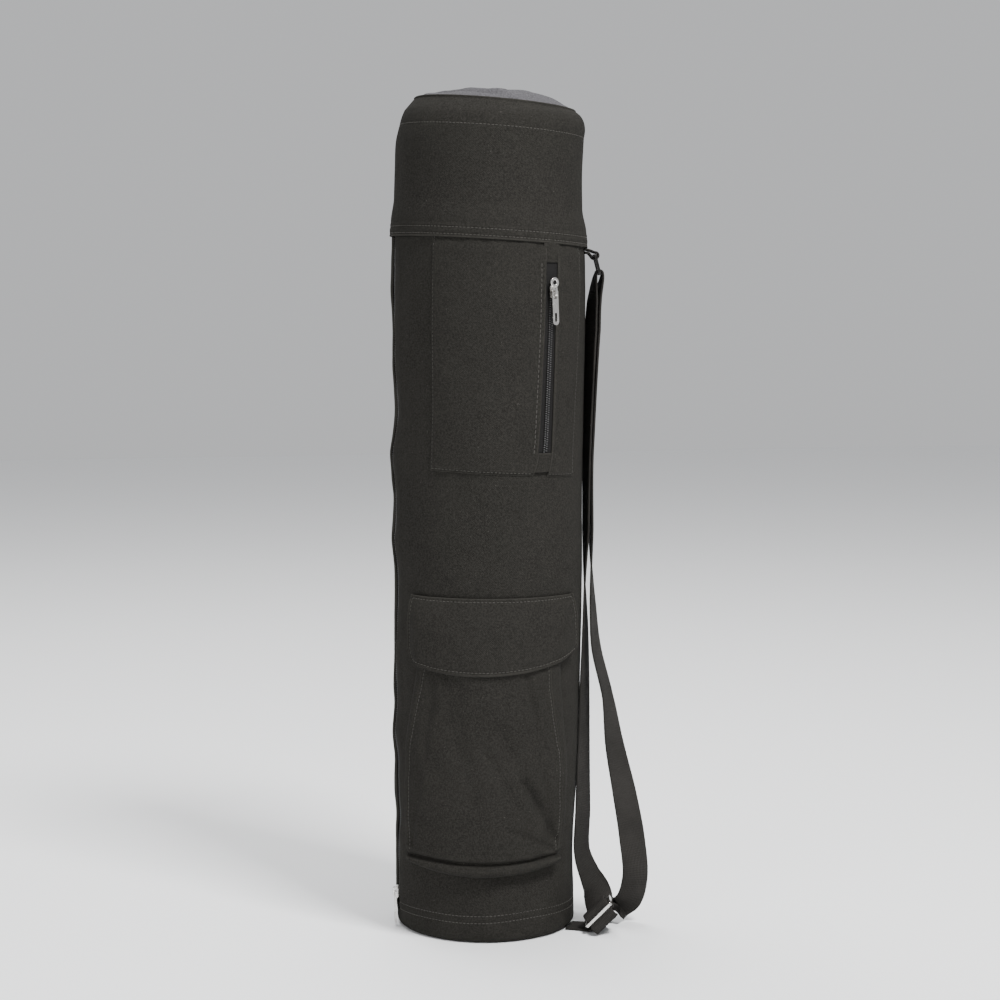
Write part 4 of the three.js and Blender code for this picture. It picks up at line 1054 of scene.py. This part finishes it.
OUTER_ROUTE = (
    (1.148, 0, 0.77, (-0.26, -0.97, 0)), (1.127, 0, 0.735, (-0.34, -0.94, 0)),
    (1.106, 0, 0.68, (-0.28, -0.96, 0)), (1.09, 0, 0.62, (-0.22, -0.98, 0)),
    (1.078, 0, 0.57, (-0.18, -0.98, 0)), (1.092, 0.01, 0.49, (-0.1, -0.99, 0)),
    (1.1, 0.03, 0.44, (0.06, -1, 0)), (1.115, 0.05, 0.395, (0.22, -0.97, 0)),
    (1.15, 0.07, 0.345, (0.33, -0.94, 0)), (1.27, 0.1, 0.285, (0.38, -0.92, 0)),
    (1.345, 0.13, 0.225, (0.66, -0.75, 0)), (1.45, 0.17, 0.165, (0.84, -0.54, 0)),
    (1.53, 0.2, 0.11, (0.88, -0.4, 0)), (1.565, 0.2, 0.06, (0.86, -0.4, -0.3)),
    (1.49, 0.16, 0.028, (0.78, -0.3, -0.4)), (1.36, 0.12, 0.0175, (0.78, 0.1, 0.1)),
)
RING_WIRE, RING_HEIGHT, RING_LEAN, RING_REACH, RING_DROP = 2.4, 16.0, 14.0, 8.5, 6.0
GLIDE_PITCH, GLIDE_BAR, GLIDE_PLATE = 12.0, 3.0, 2.5
GLIDE_OUT, GLIDE_FRONT, GLIDE_LIFT, GLIDE_TILT = 96.0, 38.0, 17.5, 45.0


def plain_skin(angle, height):
    """The measured skin without its rumples, which hard pieces are placed by."""
    return skin(angle, height) - rumple(angle, height)


tab_skin = plain_skin(STRAP_ANGLE, hem_height(STRAP_ANGLE))
tab_hem = hem_height(STRAP_ANGLE) - GAP
lean = np.radians(RING_LEAN)
ring_top = np.array([tab_skin + RING_REACH, tab_hem - RING_DROP])
ring_foot = ring_top + (RING_HEIGHT * np.sin(lean), -RING_HEIGHT * np.cos(lean))
ring_wrap = RING_WIRE * np.sqrt(0.5) + GAP + STRAP_WALL / 2
tilt = np.radians(GLIDE_TILT)
glide_across = beside(np.cos(tilt), 0, np.sin(tilt))
glide_along = -strap_front
glide_up = np.cross(glide_across, glide_along)
glide_centre = beside(GLIDE_OUT, GLIDE_FRONT, GLIDE_LIFT)


def at_glide(along, up):
    return glide_centre + glide_along * along + glide_up * up


def round_bar(centre, radius, start, end, count):
    turns = np.radians(np.linspace(start, end, count + 1))
    return [(centre[0] + radius * np.cos(t), centre[1] + radius * np.sin(t)) for t in turns]


def strap_stations():
    layer, half, pitch = STRAP_WALL + GAP, STRAP_WALL / 2, GLIDE_PITCH
    loop = np.hypot(GLIDE_BAR, GLIDE_PLATE) / 2 + GAP + half
    over = loop + layer + GAP
    under = GLIDE_PLATE / 2 + 2 * GAP + half
    end, leave, back, turn = under + layer + 0.5, 1.5 * pitch, 1.2 * pitch, 1.75 * layer
    arrive = end + layer
    glide = lambda places: [(at_glide(a, u), glide_across) for a, u in places]
    route = lambda table: [
        (beside(o * RADIUS, f * RADIUS, h * RIM), beside(*across)) for o, f, h, across in table
    ]
    foot = plain_skin(TAIL_ANGLE, layer) - round_edge(layer, BASE_CORNER)
    start = [(polar(TAIL_ANGLE, foot + GAP, half + GAP), polar(TAIL_ANGLE - 90, 1.0, 0.0))]
    fold_back = glide([
        (-back, -under - 2 * turn), (-back - 0.7 * turn, -under - 1.7 * turn),
        (-back - turn, -under - turn), (-back - 0.7 * turn, -under - 0.3 * turn),
    ])
    through = glide([
        (-back, -under), (-pitch, -under), (-0.775 * pitch, -under), (-0.6 * pitch, 0.05 * pitch),
        (-0.38 * pitch, over * 0.82), (0, over), (0.38 * pitch, over * 0.82),
        (0.6 * pitch, 0.05 * pitch), (0.775 * pitch, -under), (pitch, -under), (leave, -under),
    ])
    round_ring = [(beside(o, 0, u), strap_front) for o, u in round_bar(ring_foot, ring_wrap, 180, 0, 4)]
    sewn = glide([
        (leave, -arrive), (0.67 * pitch, -arrive), (0.3 * pitch, -loop - 0.8 * layer),
        *round_bar((0, 0), loop, 270, 0, 6),
        (0.38 * pitch, -under), (0.67 * pitch, -end), (1.25 * pitch, -end),
    ])
    return [*start, *route(TAIL_ROUTE), *fold_back, *through, *route(INNER_ROUTE), *round_ring,
            *route(OUTER_ROUTE), *sewn]


def smooth_path(stations):
    """Even samples along a centripetal curve through stations: places and sideways directions."""
    at = np.array([place for place, side in stations])
    side = unit(np.array([side for place, side in stations]))
    for index in range(1, len(side)):
        if side[index] @ side[index - 1] < 0:
            side[index] *= -1
    ends = np.concatenate([[2 * at[0] - at[1]], at, [2 * at[-1] - at[-2]]])
    places, sides = [], []
    for span in range(len(at) - 1):
        p0, p1, p2, p3 = ends[span:span + 4]
        d0, d1, d2 = (max(np.linalg.norm(b - a) ** 0.5, 1e-4) for a, b in ((p0, p1), (p1, p2), (p2, p3)))
        t1 = ((p1 - p0) / d0 - (p2 - p0) / (d0 + d1) + (p2 - p1) / d1) * d1
        t2 = ((p2 - p1) / d1 - (p3 - p1) / (d1 + d2) + (p3 - p2) / d2) * d1
        count = max(5, int(np.linalg.norm(p2 - p1) / 2.5))
        last = span == len(at) - 2
        for share in np.linspace(0, 1, count, endpoint=False).tolist() + ([1.0] if last else []):
            cubic = 2 * p1 - 2 * p2 + t1 + t2
            square = -3 * p1 + 3 * p2 - 2 * t1 - t2
            places.append(p1 + t1 * share + square * share**2 + cubic * share**3)
            sides.append(mix(side[span], side[span + 1], share))
    places, sides = np.array(places), np.array(sides)
    tangent = unit(np.gradient(places, axis=0))
    sides = level_with(sides, tangent)
    return places, sides, np.cross(sides, tangent)


def strap_section():
    """A flat section with rounded edges, walked round once."""
    half, flat = STRAP_WALL / 2, STRAP_WIDTH / 2 - STRAP_WALL / 2
    turns = np.linspace(-np.pi / 2, np.pi / 2, 5)
    right = [(flat + half * np.cos(t), half * np.sin(t)) for t in turns]
    left = [(-x, -y) for x, y in right]
    across = np.linspace(flat, -flat, 9)[1:-1]
    return np.array([*right, *[(x, half) for x in across], *left, *[(-x, -half) for x in across]])


def swept_strap(name, stations, node):
    places, sides, out = smooth_path(stations)
    section = strap_section()
    grid = places[:, None] + sides[:, None] * section[None, :, :1] + out[:, None] * section[None, :, 1:]
    count, around_count = grid.shape[:2]
    length = running(places)
    faces, corners = [], []
    for r in range(count - 1):
        for c in range(around_count):
            n = (c + 1) % around_count
            faces.append((r * around_count + c, (r + 1) * around_count + c,
                          (r + 1) * around_count + n, r * around_count + n))
            u0, u1 = section[c, 0], section[n, 0]
            corners += [(u0, length[r]), (u0, length[r + 1]), (u1, length[r + 1]), (u1, length[r])]
    for row, order in ((0, 1), (count - 1, -1)):
        loop = [row * around_count + c for c in range(around_count)][::order]
        faces.append(tuple(loop))
        corners += [(section[c % around_count, 0], length[row]) for c in range(around_count)][::order]
    finish_piece(new_mesh(name, grid.reshape(-1, 3), faces, webbing, corners), "webbing", node)
    print(name, "length", round(float(length[-1])), "mm")


swept_strap("bag_strap", strap_stations(), "strap_webbing")

# %% [markdown]
# A short tab of the same webbing comes out under the hem, turns round the ring's upper bar and
# goes back. Both its layers are pinched together below the hem, so the ring hangs close.

# %% Strap top tab
seat = tab_skin + 2 * GAP
under = tab_hem - STRAP_WALL / 2 - GAP
tab_route = [
    (seat - 2, under + 1), (mix(seat, ring_top[0], 0.45), under - STRAP_WALL / 4),
    *round_bar(ring_top, ring_wrap, 100, -130, 6),
    (mix(seat, ring_top[0], 0.3), under - STRAP_WALL / 4 - 2.4),
    (seat - 1, under - 2.2),
]
tab_stations = [(beside(out, 0, up), strap_front) for out, up in tab_route]
swept_strap("bag_strap_tab", tab_stations, "strap_top_tab")

# %% [markdown]
# A coil zip is two rows of small plastic loops that lock between each other. Each loop shows as
# a short bar across the tape, so each row is many copies of one bar, half a step out of line with
# its neighbour. A thin core strip under the bars hides the tape between them.

# %% Zip coils and the main tapes
TOOTH = bar_template(1.7, 0.95, 1.0)
TOOTH_OUT, TOOTH_PITCH, TOOTH_LIFT, CORE_LIFT = 1.15, 1.9, 0.75, 0.5
TAPE_TOP = -CANVAS - 2 * GAP


def zip_coil(name, line, low, high, seat, node):
    lists, levels = [], np.linspace(low, high, 400)
    for side in (-1, 1):
        place, phase = np.full(400, side * TOOTH_OUT), 0.5 + side / 4
        here, ahead, normal = walk(tape_face(line, seat), place, levels, TOOTH_PITCH, phase)
        lists.append(copies(TOOTH, here + normal * TOOTH_LIFT, np.cross(ahead, normal), normal))
    joined_mesh(name, lists, coil, "zip_coil", node)
    columns = np.linspace(-1.9, 1.9, 5)
    core = on_grid(tape_face(line, seat + CORE_LIFT), columns, spread(low, high, 6))
    cloth(name + "_core", core, tape, wall=0.3)


def main_line(height):
    return ZIP_ANGLE + 0 * height


window_zip = (zip_line, WINDOW_FOOT + 0.5, SLIDER_HEIGHT + 2, TAPE_SEAT)
zip_coil("pocket_zip_teeth", *window_zip, "zip_pocket_chain")
zip_coil("main_zip_teeth", main_line, 31.5, HEM + 5, TAPE_TOP + GAP, "main_zip_chain")
main_tapes = ("main_zip_rear_tape", "main_zip_front_tape")
zip_tape("main_zip_tape", tape_face(main_line, TAPE_TOP, 0.12), 7, 7.5, HEM + 5.3, *main_tapes)

# %% [markdown]
# The metal pieces keep their CAD shapes, which are already right. A small bevel on each gives the
# rounded edges that catch the light on plated metal. A weld goes first, because the imported
# triangles share no points with their neighbours, and a bevel needs them joined.

# %% Metal pieces
WELD_REACH = 0.03
for node, material, rounding in (
    ("main_zip_slider", nickel, 0.3), ("main_zip_pull", nickel, 0.3),
    ("zip_pocket_slider", nickel, 0.3), ("zip_pocket_pull", nickel, 0.3),
    ("strap_slider", nickel, 0.6), ("strap_ring", black_metal, 0.7),
):
    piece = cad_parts[node]
    piece.data.materials.clear()
    piece.data.materials.append(material)
    piece.modifiers.new("weld", "WELD").merge_threshold = WELD_REACH * MM
    bevel = piece.modifiers.new("bevel", "BEVEL")
    bevel.width, bevel.segments = rounding * MM, 3
    bevel.limit_method, bevel.angle_limit = "ANGLE", 0.6
    print(node, "rounded by", rounding, "mm")

# %% [markdown]
# The pocket's slider has a round crown that shows above the pull. It is a short cylinder with a
# hole: a disc is added, a smaller one is inset in its face and deleted, and a Solidify modifier
# gives the ring its thickness. It stands on the slider's plate, just above the pull's bar.

# %% Crown of the pocket slider
CROWN_RISE, CROWN_LIFT, CROWN_RADIUS, CROWN_BREADTH, CROWN_WALL = 7.4, 2.9, 4.3, 2.3, 1.6
crown_angle = float(zip_line(SLIDER_HEIGHT)) + 0.2
crown_place = on_skin(crown_angle, SLIDER_HEIGHT + CROWN_RISE, TAPE_SEAT + CROWN_LIFT)
outward = Vector(polar(crown_angle, 1.0, 0.0).tolist())
bpy.ops.mesh.primitive_circle_add(vertices=32, radius=CROWN_RADIUS * MM, fill_type="NGON")
crown = bpy.context.active_object
crown.name = "pocket_slider_crown"
bpy.ops.object.mode_set(mode="EDIT")
bpy.ops.mesh.select_all(action="SELECT")
bpy.ops.mesh.inset(thickness=CROWN_BREADTH * MM)
bpy.ops.mesh.delete(type="ONLY_FACE")
bpy.ops.object.mode_set(mode="OBJECT")
crown.rotation_mode = "QUATERNION"
crown.rotation_quaternion = outward.to_track_quat("Z", "Y")
crown.location = Vector((crown_place * MM).tolist())
bpy.ops.object.transform_apply(location=True, rotation=True, scale=True)
apply_modifier(crown, "SOLIDIFY", thickness=CROWN_WALL * MM, offset=1)
apply_modifier(crown, "BEVEL", width=0.45 * MM, segments=3, limit_method="ANGLE", angle_limit=0.6)
crown.data.materials.append(nickel)
bpy.ops.object.shade_smooth_by_angle(angle=0.6)
finish_piece(crown, "nickel")
print("crown faces", len(crown.data.polygons))
